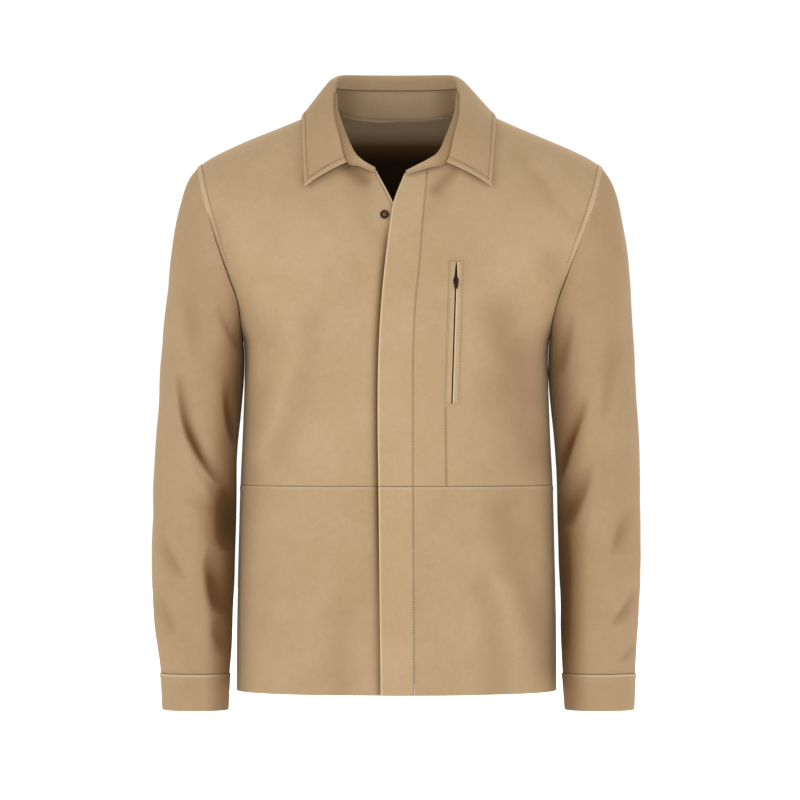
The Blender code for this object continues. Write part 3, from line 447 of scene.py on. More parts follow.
frontSizes = {
    "step": 2.3,                 # grid spacing
    "acrossWay": 280.0, "armWay": 320.0, "waistWay": 174.0, "lowerWay": 245.5,   # the grids' sizes
    "gap": 0.05,                 # half of a seam's gap
    "middleTurn": {"right": 0.7, "left": 0.35},        # how far the edge by the middle is rounded
    # The lanes' Pale values paint a highlight on each raised allowance
    "armLane": 6.4, "armLaneRise": 0.55, "armLanePale": 0.55,
    "armLaneFrom": -178.0, "armLaneTo": -128.0,
    "armSeamFrom": -235.0, "armSeamRun": 30.0, "sideFrom": -285.0, "sideRun": 50.0,
    "shoulderLane": 7.0, "shoulderLaneRise": 0.35, "shoulderLanePale": 0.35,
    "shoulderLaneRun": 205.0, "shoulderFade": 60.0,
    "shoulderShare": {"right": 1.0, "left": 0.35},     # the left one is pressed flatter
    "grooveDepth": 0.32, "grooveHalf": 0.75,
    "edgeLane": 3.4, "edgeLaneRise": 0.3,              # rolled edge in the open neck
    "edgeLaneTo": -128.0, "edgeLaneRun": 12.0, "openRun": 30.0,
    "panelSeamX": (58.4, 59.4), "panelSeamZ": (-343.0, -440.0), "panelSeamRun": 4.0,
    "panelDip": (0.4, 0.8), "panelRidge": (0.25, 1.6, 5.0),
    "panelLine": 237.0,          # where the grid lies closer together for that seam
    "waistDip": (0.5, 1.5), "waistRise": 0.5, "waistLane": 3.5, "waistRun": 6.0,
    "underlapFrom": -105.0, "underlapRun": 80.0, "underlapLow": -620.0, "underlapLowRun": 160.0}


def frontShade(side, x, z):
    # Creases, wide hollows and the cloth under the collar's points get less light than the rest,
    # and so does the right front along the placket
    sizes = frontSizes
    crease = np.clip(-foldRise(bodyFolds, x, z) / suedeShade["creaseFall"], 0.0, 1.0)
    shade = suedeShade["crease"] * crease - foldRise(frontShadows, x, z)
    if side == "right":
        fromPlacket = smooth(z, frontEdge["z"], frontEdge["placket"]) - x
        high = ease((sizes["underlapFrom"] - z) / sizes["underlapRun"])
        low = 0.5 + 0.5 * ease((z - sizes["underlapLow"]) / sizes["underlapLowRun"])
        depth = suedeShade["underlap"] * high * low
        shade = shade + depth * bell(np.maximum(fromPlacket, 0.0), suedeShade["underlapRun"])
    return np.clip(shade, 0.0, 1.0)


def sidePaintedLight(side, x, z):   # painted light along the side seams, where the sleeves shade the body's sides
    down = ease((frontSizes["sideFrom"] - z) / frontSizes["sideRun"])
    return down * wearLine("side", edgeX(side, z) - np.abs(x))


def cornerOf(side, start):   # x and z of the neck seam at its given share
    return [smooth(start, neckSeam["way"], neckSeam[side + axis]) for axis in "XZ"]


def frontLine(side, column, start, low, high):
    # x and z of a line that runs up a front's edge to the neck seam, for both stretches of rows
    cornerX, cornerZ = cornerOf(side, start)
    z = np.concatenate((bodyForm["waistZ"] + (bodyForm["underarmZ"] - bodyForm["waistZ"]) * low,
                        bodyForm["underarmZ"] + (cornerZ - bodyForm["underarmZ"]) * high))
    x = smooth(z, frontEdge["z"], frontEdge[column])
    endX = sideSigns[side] * cornerX - smooth(cornerZ, frontEdge["z"], frontEdge[column])
    run = frontSizes["openRun"]
    return x + endX * ease((z - cornerZ + run) / run), z


def laneRelief(distance, width, rise, sizes=frontSizes):
    # A folded-over allowance beside a seam: a flat rise as wide as the lane, ended by a groove
    strip = rise * (1.0 - ease((distance - width + 0.6) / 1.8))
    return strip - sizes["grooveDepth"] * bell(distance - width, sizes["grooveHalf"])


def aboveWaist(up):   # how the cloth dips into the waist seam, and the painted shade in it
    depth, half = frontSizes["waistDip"]
    return -depth * bell(up, half), wearLine("waistSeam", up)


def belowWaist(up):
    # How the allowance lifts the cloth, and the painted highlight, partly also rubbing, on the
    # fold above it and on the hem
    fromWaist = up[-1:] - up
    relief = frontSizes["waistRise"] * (1.0 - ease((fromWaist - frontSizes["waistLane"])
                                                   / frontSizes["waistRun"]))
    return relief, wearLine("waistFold", fromWaist - 0.5) + wearLine("hem", up)


def upperFrontPlaces(side):
    # Where a grid over the upper front lies as seen from the front. Each row is drawn from the
    # side seam or the armhole to the middle edge or the neck seam, with its points as a quarter
    # sine. Rows above the underarm are lifted by their share of the way to the shoulder line.
    sign, sizes = sideSigns[side], frontSizes
    start, seam = (0.0, "right") if side == "right" else (bodyForm["placketWay"], "seam")
    corner, gap, turn = bodyForm["cornerShare"], sizes["gap"], clothSizes["turn"]
    low = gradedWay(sizes["waistWay"], sizes["step"], (gap, 0.0), (turn, 0.0))[:-1]
    high = gradedWay(sizes["armWay"], sizes["step"], (0.0, gap), (0.0, turn),
                     (corner * sizes["armWay"],))
    lines = (sizes["panelLine"],) if side == "left" else ()
    across = gradedWay(sizes["acrossWay"], sizes["step"], (gap, gap), (turn, turn), lines)
    share = 1.0 - np.cos(across * math.pi / 2)
    blend, armZ = armLevels(high)
    lowZ = bodyForm["waistZ"] + (bodyForm["underarmZ"] - bodyForm["waistZ"]) * low
    sideZ = np.concatenate((lowZ, armZ))
    sideX = sign * edgeX(side, sideZ)
    edgeRows = high <= corner + 1e-9
    midX, midZ = frontLine(side, seam, start, low, high[edgeRows] / corner)
    arc = np.sin((high[~edgeRows] - corner) / (1.0 - corner) * math.pi / 2)
    neckX, neckZ = cornerOf(side, start + (1.0 - start) * arc)
    midX, midZ = np.concatenate((midX, sign * neckX)), np.concatenate((midZ, neckZ))
    x = sideX[:, None] * (1 - share) + midX[:, None] * share
    z = sideZ[:, None] * (1 - share) + midZ[:, None] * share
    topX = sign * (bodyEdge[side][-1] * (1 - share) + bodyForm["neckHalf"] * share)
    topZ = bodyForm["shoulderPointZ"] * (1 - share) + neckSeam[side + "Z"][-1] * share
    lift = np.concatenate((np.zeros(len(low)), blend))
    z = z + lift[:, None] * (shoulderZ(side, topX) - topZ)
    belowNeck = (np.arange(len(z)) <= len(low) + edgeRows.sum())[:, None]
    return x, z, belowNeck


def makeUpperFront(side, material):
    # The grid, raised in lanes along the armhole and the shoulder and sunk along its seams. The
    # right front has a rolled edge in the open neck, the left one a panel seam under the pocket.
    sizes = frontSizes
    x, z, belowNeck = upperFrontPlaces(side)
    grid = frontPoint(side, x, z)
    way = inwardWays(grid, False, bodyAxis(grid))
    fromArm, up = lengthsAlong(grid, 1), lengthsAlong(grid, 0)
    fromTop, fromMiddle = up[-1:] - up, fromArm[:, -1:] - fromArm

    # Each raised lane gets a painted highlight, and painted shade in the groove beside it
    lane = sizes["armLane"]
    armFade = ease((z - sizes["armLaneFrom"]) / (sizes["armLaneTo"] - sizes["armLaneFrom"]))
    relief = armFade * laneRelief(fromArm, lane, sizes["armLaneRise"])
    wear = armFade * (sizes["armLanePale"] * (fromArm < lane) + wearLine("armLane", fromArm - lane))
    # Painted highlight on the armhole seam, painted light along the side seam
    armFade = ease((z - sizes["armSeamFrom"]) / sizes["armSeamRun"])
    wear = wear + armFade * wearLine("armSeam", fromArm) + sidePaintedLight(side, x, z)

    lane = sizes["shoulderLane"]
    topFade = ease((sizes["shoulderLaneRun"] - np.abs(x)) / sizes["shoulderFade"])
    topFade = topFade * sizes["shoulderShare"][side]
    relief = relief + topFade * laneRelief(fromTop, lane, sizes["shoulderLaneRise"])
    wear = wear + topFade * (sizes["shoulderLanePale"] * (fromTop < lane)
                             + wearLine("shoulderLane", fromTop - lane))
    dip, dark = aboveWaist(up)
    relief, wear = relief + dip, wear + dark

    if side == "right":
        lane = sizes["edgeLane"]
        neckFade = ease((z - sizes["edgeLaneTo"]) / sizes["edgeLaneRun"]) * belowNeck
        relief = relief + neckFade * laneRelief(fromMiddle, lane, sizes["edgeLaneRise"])
        # Painted highlight on the rolled edge, painted shade in its groove
        wear = wear + wearLine("openEdge", fromMiddle)
        wear = wear + neckFade * wearLine("openLane", fromMiddle - lane)
    else:
        seamX = np.interp(-z, -np.array(sizes["panelSeamZ"]), sizes["panelSeamX"])
        seamFade = ease((sizes["panelSeamZ"][0] - z) / sizes["panelSeamRun"])
        (depth, half), (rise, edge, run) = sizes["panelDip"], sizes["panelRidge"]
        ridge = rise * ease((x - seamX) / edge) * bell(x - seamX, run)
        relief = relief - seamFade * (depth * bell(x - seamX, half) - ridge)
        # Painted shade along the band's seam and the panel seam
        wear = wear + wearLine("bandSeam", fromMiddle) + seamFade * wearLine("panelSeam", x - seamX)

    turn = clothSizes["turn"]
    return sewPanel(f"front_{side}_upper", grid - way * relief[..., None], way, clothSizes["suede"],
                    material, {"v0": turn, "v1": turn, "u0": turn, "u1": sizes["middleTurn"][side]},
                    wear=wear, shade=frontShade(side, x, z) + suedeShade["panelShade"]["upper"],
                    hollow=suedeShade["inside"])


def makeLowerFront(side, material):
    # Level rows from the hem to the waist seam, drawn from the side seam to the middle edge
    sizes, gap, turn = frontSizes, frontSizes["gap"], clothSizes["turn"]
    up = gradedWay(sizes["lowerWay"], sizes["step"], (0.0, gap), (clothSizes["hemTurn"], turn))
    share = 1.0 - np.cos(gradedWay(sizes["acrossWay"], sizes["step"]) * math.pi / 2)
    z = (bodyForm["hemZ"] + (bodyForm["waistZ"] - bodyForm["hemZ"]) * up)[:, None] + 0.0 * share
    midX = smooth(z, frontEdge["z"], frontEdge["right" if side == "right" else "seam"])
    x = sideSigns[side] * edgeX(side, z) * (1 - share) + midX * share
    grid = frontPoint(side, x, z)
    way = inwardWays(grid, False, bodyAxis(grid))
    fromSide = lengthsAlong(grid, 1)
    # Painted highlight on the waist fold, hem and right edge, painted shade on the band seam,
    # painted light by the side seam
    relief, wear = belowWaist(lengthsAlong(grid, 0))
    middle = "lapEdge" if side == "right" else "bandSeam"
    wear = wear + sidePaintedLight(side, x, z) + wearLine(middle, fromSide[:, -1:] - fromSide)
    turns = {"v0": clothSizes["hemTurn"], "v1": turn, "u0": turn, "u1": sizes["middleTurn"][side]}
    return sewPanel(f"front_{side}_lower", grid - way * relief[..., None], way, clothSizes["suede"],
                    material, turns, wear=wear,
                    shade=frontShade(side, x, z) + suedeShade["panelShade"]["lower"],
                    hollow=suedeShade["inside"])


placketSizes = {
    "width": 42.0, "step": 1.3, "openWay": 200.0, "openGap": 0.15, "openTurn": 1.0,
    "foldTurn": 1.3, "seamTurn": 0.5, "wallTurn": 0.35, "endTurn": 1.2,
    "foldRise": 0.25, "foldAt": 2.0, "foldHalf": 3.0}


def makePlacket(part, material):
    # The folded band: its free edge is a soft fold, its other edge is sewn to the left front. Its
    # points lie on straight lines between the two edges.
    sizes, band, turn = frontSizes, placketSizes, clothSizes["turn"]
    gap = sizes["gap"]
    share = gradedWay(band["width"], band["step"], (0.0, gap), (band["foldTurn"], band["seamTurn"]))
    if part == "upper":
        low = gradedWay(sizes["waistWay"], sizes["step"], (gap, 0.0), (turn, 0.0))[:-1]
        high = gradedWay(band["openWay"], sizes["step"], (0.0, band["openGap"]),
                        (0.0, band["openTurn"]))
        foldX, foldZ = frontLine("left", "placket", 0.0, low, high)
        seamX, seamZ = frontLine("left", "seam", bodyForm["placketWay"], low, high)
    else:
        up = gradedWay(sizes["lowerWay"], sizes["step"], (0.0, gap), (band["endTurn"], turn))
        foldZ = seamZ = bodyForm["hemZ"] + (bodyForm["waistZ"] - bodyForm["hemZ"]) * up
        foldX, seamX = [smooth(foldZ, frontEdge["z"], frontEdge[edge])
                        for edge in ("placket", "seam")]
    x = foldX[:, None] * (1 - share) + seamX[:, None] * share
    z = foldZ[:, None] * (1 - share) + seamZ[:, None] * share
    grid = frontPoint("left", x, z)
    way = inwardWays(grid, False, bodyAxis(grid))
    across, up = lengthsAlong(grid, 1), lengthsAlong(grid, 0)
    relief, wear = (aboveWaist if part == "upper" else belowWaist)(up)
    relief = relief + band["foldRise"] * bell(across - band["foldAt"], band["foldHalf"])
    # Painted highlight on the band's fold, painted shade along its seam
    wear = wear + wearLine("bandFold", across - 0.6) + wearLine("bandSeam", across[:, -1:] - across)
    turns = {"v0": band["endTurn"] if part == "lower" else turn, "v1": turn,
             "u0": band["foldTurn"], "u1": band["wallTurn"]}
    return sewPanel(f"placket_{part}", grid - way * relief[..., None], way, clothSizes["placket"],
                    material, turns, wear=wear, hollow=suedeShade["inside"])


# Back

backSizes = {
    "step": 4.1, "neckStep": 3.0,                      # grid spacing
    "sideLength": 419.5, "armLength": 320.0, "topLength": 220.0, "neckLength": 90.0,
    # innerPale is painted light on the inside of the back just below the neck
    "gap": 0.15, "innerPale": 0.5}


def backPlaces(side):
    # Where a grid over one half of the back lies as seen from behind. Each row is drawn from the
    # side seam or the armhole to the middle. Above the underarm it is moved by its share of the
    # way up, so that the last row follows the shoulder line to the neck and then the neck seam.
    sign, sizes, turn = sideSigns[side], backSizes, clothSizes["turn"]
    low = gradedWay(sizes["sideLength"], sizes["step"], (0.0, 0.0),
                    (clothSizes["hemTurn"], 0.0))[:-1]
    high = gradedWay(sizes["armLength"], sizes["step"], (0.0, sizes["gap"]), (0.0, turn))
    blend, armZ = armLevels(high)
    lowZ = bodyForm["hemZ"] + (bodyForm["underarmZ"] - bodyForm["hemZ"]) * low
    sideZ = np.concatenate((lowZ, armZ))[:, None]
    midZ = np.concatenate((lowZ, bodyForm["underarmZ"] * (1.0 - blend)))[:, None]
    neckShare = 1.0 - bodyForm["neckHalf"] / edgeX(side, bodyForm["underarmZ"])
    across = gradedWay(sizes["topLength"], sizes["step"], (sizes["gap"], 0.0), (turn, 0.0))
    crowd = 1.0 - np.cos(across * math.pi / 2)
    neckWay = np.linspace(0.0, 1.0, int(sizes["neckLength"] / sizes["neckStep"]))[1:]
    share = np.concatenate((crowd * neckShare, neckShare + (1.0 - neckShare) * neckWay))
    x = sign * edgeX(side, sideZ) * (1 - share)
    z = sideZ * (1 - share) + midZ * share
    endX = sign * edgeX(side, bodyForm["shoulderPointZ"]) * (1 - share)
    endZ = bodyForm["shoulderPointZ"] * (1 - share)
    outer = bodyEdge[side][-1]
    topX = outer + (bodyForm["neckHalf"] - outer) * crowd
    neckX, neckZ = [smooth(neckWay, backNeck["way"], backNeck[axis]) for axis in "xz"]
    topZ = np.concatenate((shoulderZ(side, topX), neckZ))
    topX = sign * np.concatenate((topX, neckX))
    lift = np.concatenate((np.zeros(len(low)), blend))[:, None]
    return x + lift * (topX - endX), z + lift * (topZ - endZ)


def makeBack(material):   # one plain back from two halves
    grids, sideLights = [], []
    for side in sideSigns:
        x, z = backPlaces(side)
        drift = bodyForm["driftRise"] * softWaves(x, z, bodyForm["seed"] + 1)
        grid = backPoint(side, x, z)
        inside = ease((edgeX(side, z) - np.abs(x)) / bodyForm["edgeFade"])
        grid[..., 1] += drift * (inside * ease(grid[..., 1] / bodyForm["roundIn"]))
        grids.append(grid)
        sideLights.append(sidePaintedLight(side, x, z))
    grid, sideLight = [np.concatenate((right, left[:, ::-1][:, 1:]), axis=1)
                 for right, left in (grids, sideLights)]
    way = inwardWays(grid, False, bodyAxis(grid))
    # Inside the back, painted shade grows down from the neck, with painted light just below it;
    # outside, painted light by the side seams and a painted highlight on the hem
    start, end = suedeShade["backRun"]
    down = (start - grid[..., 2]) / (start - end)
    turn = clothSizes["turn"]
    return sewPanel("back", grid, way, clothSizes["suede"], material,
                    {"v0": clothSizes["hemTurn"], "v1": turn, "u0": turn, "u1": turn},
                    wear=sideLight + wearLine("hem", lengthsAlong(grid, 0)),
                    hollow=suedeShade["backInside"] * ease(down),
                    innerWear=backSizes["innerPale"] * ease(1.0 - down))


# Sleeves and cuffs

sleeveSizes = {
    "columns": 86,               # half of the grid's columns round the arm
    "step": 2.6, "length": 430.0, "headGap": 0.1, "cuffGap": 0.15,
    "armholeFade": 95.0, "foldRun": 60.0,
    "seamFall": 0.35, "seamFlat": 5.0, "seamRun": 6.0,   # its head lies under the body's allowance
    "driftRise": 0.8, "driftFrom": 8.0, "driftRun": 60.0, "driftEnd": 30.0,
    "armRadius": 55.0,           # turns angles into lengths for the soft unevenness
    "seeds": {"right": 21, "left": 22}}

cuffSizes = {
    "endZ": -707.4, "topZ": -663.7, "step": 2.0, "gap": 0.15, "endTurn": 1.2, "topTurn": 1.0,
    "proud": 1.0, "swell": 0.35, "swellAt": 2.0, "swellHalf": 3.0}

sleeveForm = columns("z        outRight  outLeft  inRight  inLeft  depth  middle",
                     (-712.0,  278.4,    283.0,   201.4,   201.8,  39.5,  33.0),
                     (-663.7,  281.4,    285.0,   199.2,   198.4,  41.5,  30.0),
                     (-614.0,  287.8,    288.0,   196.2,   196.4,  45.5,  27.0),
                     (-578.0,  290.8,    289.9,   195.4,   195.6,  49.5,  24.0),
                     (-530.0,  292.6,    292.0,   193.2,   194.2,  54.5,  20.0),
                     (-482.0,  291.6,    292.2,   192.0,   192.8,  59.5,  16.0),
                     (-422.0,  290.0,    291.2,   190.8,   191.2,  65.5,  11.0),
                     (-386.0,  287.8,    290.6,   189.4,   188.8,  69.0,  8.0),
                     (-338.0,  284.6,    287.8,   184.8,   184.6,  73.0,  5.0),
                     (-300.0,  282.8,    286.2,   182.5,   182.3,  76.0,  3.0),
                     (-284.0,  281.8,    285.2,   182.5,   182.4,  77.0,  2.0),
                     (-266.0,  280.6,    284.0,   183.6,   183.5,  78.0,  1.0),
                     (-206.0,  274.0,    280.2,   172.0,   174.0,  79.0,  0.0),
                     (-158.0,  269.4,    276.6,   160.0,   163.0,  79.0,  0.0),
                     (-122.0,  263.4,    270.6,   154.0,   158.0,  79.0,  0.0),
                     (-98.0,   257.4,    265.8,   150.0,   155.0,  79.0,  0.0),
                     (-86.0,   254.0,    261.8,   148.0,   154.0,  79.0,  0.0),
                     (-74.0,   249.0,    256.4,   147.0,   153.0,  79.0,  0.0),
                     (-59.5,   238.9,    247.0,   146.0,   152.0,  79.0,  0.0))

# Creases and ridges of each sleeve's front: the line's x and z from its upper end, how far it
# spreads towards the arm's outer and inner side, and its rise
sleeveCreases = {
    "right": (
        ((-261.0, -257.4, -251.4, -235.8, -217.8, -203.0),
         (-292.0, -327.6, -366.0, -402.0, -430.8, -452.0), 3.0, 9.0, -6.4),
        ((-216.0, -205.0, -200.0, -204.0), (-420.0, -454.0, -482.0, -520.0), 24.0, 9.0, -6.4),
        ((-216.0, -225.0, -223.0, -214.0), (-496.0, -530.0, -556.0, -600.0), 4.0, 13.0, -6.0),
        ((-207.0, -216.0, -210.0), (-574.0, -604.0, -642.0), 5.0, 9.0, -3.2),
        ((-202.0, -204.0, -201.5, -194.0), (-306.0, -338.0, -362.0, -394.0), 2.8, 6.0, -5.0),
        ((-213.0, -202.0, -187.0), (-222.0, -250.8, -282.0), 3.4, 8.0, -3.2),
        ((-292.0, -278.0, -262.0, -249.0), (-486.0, -503.0, -534.0, -552.0), 12.0, 5.0, -2.0),
        ((-287.0, -275.0, -264.0), (-560.0, -585.6, -618.0), 11.0, 5.0, -2.0),
        ((-263.0, -249.0, -232.0, -219.0), (-330.0, -398.0, -438.0, -464.0), 9.0, 5.0, 2.6),
        ((-243.0, -237.0, -242.0), (-462.0, -506.0, -552.0), 11.0, 8.0, 2.2),
        ((-270.0, -266.0, -262.0), (-226.0, -270.0, -312.0), 16.0, 12.0, 1.8),
        ((-246.0, -243.0, -238.0), (-190.0, -240.0, -296.0), 12.0, 12.0, -1.4)),
    "left": (
        ((226.0, 220.2, 211.8, 204.6, 194.0),
         (-326.0, -354.0, -382.8, -406.8, -440.0), 2.8, 10.0, -6.2),
        ((230.0, 223.8, 216.6, 204.0), (-408.0, -440.4, -460.8, -492.0), 5.0, 15.0, -4.2),
        ((205.0, 201.0, 199.8, 198.6, 197.0),
         (-470.0, -512.4, -548.4, -590.4, -636.0), 6.0, 8.0, -3.6),
        ((280.0, 266.0, 257.0), (-460.0, -487.2, -522.0), 12.0, 5.0, -2.4),
        ((289.0, 275.4, 256.0), (-554.0, -578.4, -606.0), 12.0, 4.0, -3.2),
        ((288.0, 279.0, 266.0), (-622.0, -634.0, -650.0), 9.0, 4.0, -2.4),
        ((209.0, 203.0, 195.0), (-226.0, -268.0, -312.0), 5.0, 9.0, -3.0),
        ((236.0, 224.0, 212.0), (-306.0, -374.4, -424.0), 10.0, 6.0, 2.6),
        ((240.0, 232.0, 220.0), (-414.0, -470.0, -520.0), 11.0, 7.0, 2.3),
        ((258.0, 252.0, 246.0), (-250.0, -310.0, -372.0), 12.0, 10.0, -1.3),
        ((270.0, 262.0, 258.0), (-290.0, -370.0, -440.0), 14.0, 12.0, 1.6))}


def creaseRise(side, x, z):
    # Each line is a bell across it, wider on one side, and a bent sine of its length brings it to
    # nothing at both ends. The highest ridge and the deepest crease count at each place.
    low, high = np.zeros_like(x), np.zeros_like(x)
    for lineX, lineZ, outer, inner, rise in sleeveCreases[side]:
        above, middle, below = [smooth(z + step, lineZ[::-1], lineX[::-1])
                                for step in (1.0, 0.0, -1.0)]
        slope = (above - below) / 2.0
        way = np.clip((lineZ[0] - z) / (lineZ[0] - lineZ[-1]), 0.0, 1.0)
        taper = np.sin(math.pi * way ** 1.4) ** 0.8
        across = sideSigns[side] * (x - middle) / np.sqrt(1.0 + slope ** 2)
        line = rise * taper * bell(across, np.where(across > 0.0, outer, inner))
        low, high = np.minimum(low, line), np.maximum(high, line)
    return low + high


def sleeveSection(side, angle, z):
    # An ellipse at each level, with the angle 0 on the outer side and a quarter turn at the front
    far, near, depth, middle = [smooth(z, sleeveForm["z"], sleeveForm[name]) for name in (
        "out" + side.capitalize(), "in" + side.capitalize(), "depth", "middle")]
    x = sideSigns[side] * ((far + near) / 2 + (far - near) / 2 * np.cos(angle))
    return np.stack(np.broadcast_arrays(x, -middle - depth * np.sin(angle), z), -1)


def sleeveAngles():   # even angles once round the arm
    return np.arange(2 * sleeveSizes["columns"]) * math.pi / sleeveSizes["columns"]


def armSideShade(side, angle, z):   # from nothing on the sleeve's front to full on its inner side
    start, run = suedeShade["armSide"]
    inner = ease((start - np.cos(angle)) / run)
    return inner * smooth(z, armShade["z"], armShade[side])


def makeSleeve(side, material):
    # Rows run from the armhole seam to the cuff, columns round the arm. Near the armhole each
    # column keeps its distance from the plain section, so that the tube grows out of the seam.
    sizes, count, sign = sleeveSizes, sleeveSizes["columns"], sideSigns[side]
    angles, turn = sleeveAngles(), clothSizes["turn"]
    levels = armLevels(np.arange(count + 1) / count)[1]
    edge = sign * edgeX(side, levels)
    front, back = [np.stack((edge, face * formDepth(side, name, edge, levels), levels), -1)
                   for name, face in (("front", -1.0), ("back", 1.0))]
    start = np.concatenate((front[:0:-1], back[:-1]))
    start[0, 1] = 0.0
    steps = gradedWay(sizes["length"], sizes["step"], (sizes["headGap"], sizes["cuffGap"]))[:, None]
    z = start[:, 2] + (cuffSizes["topZ"] - start[:, 2]) * steps
    fall = start[:, 2] - z
    grid = sleeveSection(side, angles[None, :], z)
    offset = start - sleeveSection(side, angles, start[:, 2])
    grid = grid + offset[None] * (1.0 - ease(fall / sizes["armholeFade"]))[..., None]
    facing = np.clip(np.sin(angles), 0.0, 1.0)[None, :] * ease(fall / sizes["foldRun"])
    folds = creaseRise(side, grid[..., 0], grid[..., 2])
    grid[..., 1] -= facing * folds
    way = inwardWays(grid, True, grid.mean(axis=1, keepdims=True))
    along = lengthsAlong(grid, 0)
    fromCuff = along[-1:] - along
    ends = ease((along - sizes["driftFrom"]) / sizes["driftRun"])
    ends = ends * ease(fromCuff / sizes["driftEnd"])
    waves = softWaves(angles[None, :] * sizes["armRadius"], z, sizes["seeds"][side])
    relief = ends * sizes["driftRise"] * waves
    rise = ease((along - sizes["seamFlat"]) / sizes["seamRun"])
    relief = relief - sizes["seamFall"] * (1.0 - rise)
    grid = grid - way * relief[..., None]
    # Painted shade in the creases, on the side towards the body, evenly over the sleeve and along
    # the cuff seam
    crease = facing * np.clip(-folds / suedeShade["creaseFall"], 0.0, 1.0)
    shade = armSideShade(side, angles[None, :], grid[..., 2]) + suedeShade["sleeveCrease"] * crease
    shade = np.clip(shade + suedeShade["panelShade"]["sleeve"], 0.0, 1.0)
    return sewPanel(f"sleeve_{side}", grid, way, clothSizes["suede"], material,
                    {"v0": turn, "v1": turn}, wrap=True, wear=wearLine("cuffSeam", fromCuff),
                    shade=shade, hollow=suedeShade["sleeveInside"])


def makeCuff(side, material):   # a doubled ring on the sleeve's own sections, a little proud of it
    sizes, angles = cuffSizes, sleeveAngles()
    run, turns = sizes["topZ"] - sizes["endZ"], (sizes["endTurn"], sizes["topTurn"])
    steps = gradedWay(run, sizes["step"], (0.0, sizes["gap"]), turns)
    z = (sizes["endZ"] + run * steps)[:, None] + 0.0 * angles
    grid = sleeveSection(side, angles[None, :], z)
    axis = grid.mean(axis=1, keepdims=True)
    grid = grid + unit((grid - axis) * (1.0, 1.0, 0.0)) * sizes["proud"]
    way = inwardWays(grid, True, axis)
    up = lengthsAlong(grid, 0)
    fromTop = up[-1:] - up
    swell = sizes["swell"] * bell(fromTop - sizes["swellAt"], sizes["swellHalf"])
    # Painted highlights along the cuff's top and its end
    wear = wearLine("cuffTop", fromTop - 0.6) + wearLine("cuffEnd", up)
    grid = grid - way * swell[..., None]
    shade = armSideShade(side, angles[None, :], grid[..., 2]) + suedeShade["panelShade"]["cuff"]
    return sewPanel(f"cuff_{side}", grid, way, clothSizes["doubled"], material,
                    dict(zip(("v0", "v1"), turns)), wrap=True, wear=wear, shade=shade,
                    hollow=suedeShade["cuffInside"])


# Collar

collarSizes = {
    "neckClear": -0.9,           # the stand's foot is sewn over the panels' edge by this much
    "lastLeaf": 8.0,             # station of the leaf's front end
    "crossing": 5.0,             # station where the turn crosses the seam of stand and leaf
    "turnedWidth": 0.6, "swell": (1.2, -1.5, 1.6),
    "stationStep": 0.07, "standLength": 42.0, "leafLength": 62.0, "step": 1.7,
    "endRun": 0.035, "endClear": 0.05,                 # in stations, where the ends are rounded
    "footTurn": 0.9, "seamTurn": 0.8, "edgeTurn": 1.1, "sideTurn": 1.0,
    # lanePale is a painted highlight on the leaf's raised lane; piping and pipingLane place a
    # painted pale line and a painted dark one; hollow and sideHollow are painted shade on the
    # stand's inner face, rising towards its ends
    "lane": 6.2, "laneRise": 0.35, "lanePale": 0.12, "seamHalf": 0.3,
    "piping": 1.4, "pipingLane": 3.2,                  # on the stand's inner face
    "hollow": 0.06, "sideHollow": 0.2, "sideFrom": 36.0, "sideRun": 30.0}

# Half of the collar, from the middle of the back to the front end. roll is the top of the turn
# and width its breadth, seam the line where stand and leaf meet.
collarForm = columns("station neck  rollX rollY  rollZ  width  seamX  seamY  seamZ",
                     (0.0,    2.00, 0.0,  68.5,  54.8,  8.0,   0.0,   66.5,  36.5),
                     (1.0,    1.72, 37.0, 64.5,  54.8,  8.0,   37.0,  62.5,  36.5),
                     (2.0,    1.42, 65.0, 46.5,  53.6,  8.0,   62.5,  44.5,  36.5),
                     (3.0,    1.15, 75.0, 18.0,  48.4,  7.0,   74.0,  17.0,  36.0),
                     (4.0,    0.99, 76.0, -8.0,  42.8,  7.0,   73.4,  -9.0,  33.0),
                     (5.0,    0.90, 74.5, -32.0, 23.4,  7.0,   76.0,  -33.5, 22.4),
                     (6.0,    0.79, 69.7, -54.0, 1.2,   5.0,   73.5,  -58.5, 0.5),
                     (7.0,    0.63, 61.0, -74.5, -23.6, 5.0,   67.6,  -79.5, -24.0),
                     (8.0,    0.42, 51.0, -86.0, -46.0, 5.0,   58.5,  -90.5, -56.5))
leafEdge = {                     # the leaf's free edge at the same stations
    "right": columns("edgeX  edgeY  edgeZ",
                     (0.0,   86.0,  4.0),
                     (47.0,  80.0,  4.5),
                     (87.0,  58.0,  5.0),
                     (107.5, 22.0,  3.0),
                     (112.6, -9.0,  1.6),
                     (112.2, -42.0, -12.0),
                     (110.8, -70.0, -38.0),
                     (109.3, -88.5, -66.0),
                     (108.6, -98.0, -86.0)),
    "left": columns("edgeX  edgeY  edgeZ",
                    (0.0,   86.0,  4.0),
                    (47.0,  80.0,  4.5),
                    (89.0,  58.0,  6.0),
                    (110.6, 22.0,  4.0),
                    (118.2, -9.0,  1.4),
                    (118.2, -42.0, -11.0),
                    (115.8, -70.0, -38.0),
                    (113.4, -88.5, -66.0),
                    (112.2, -98.0, -85.4))}
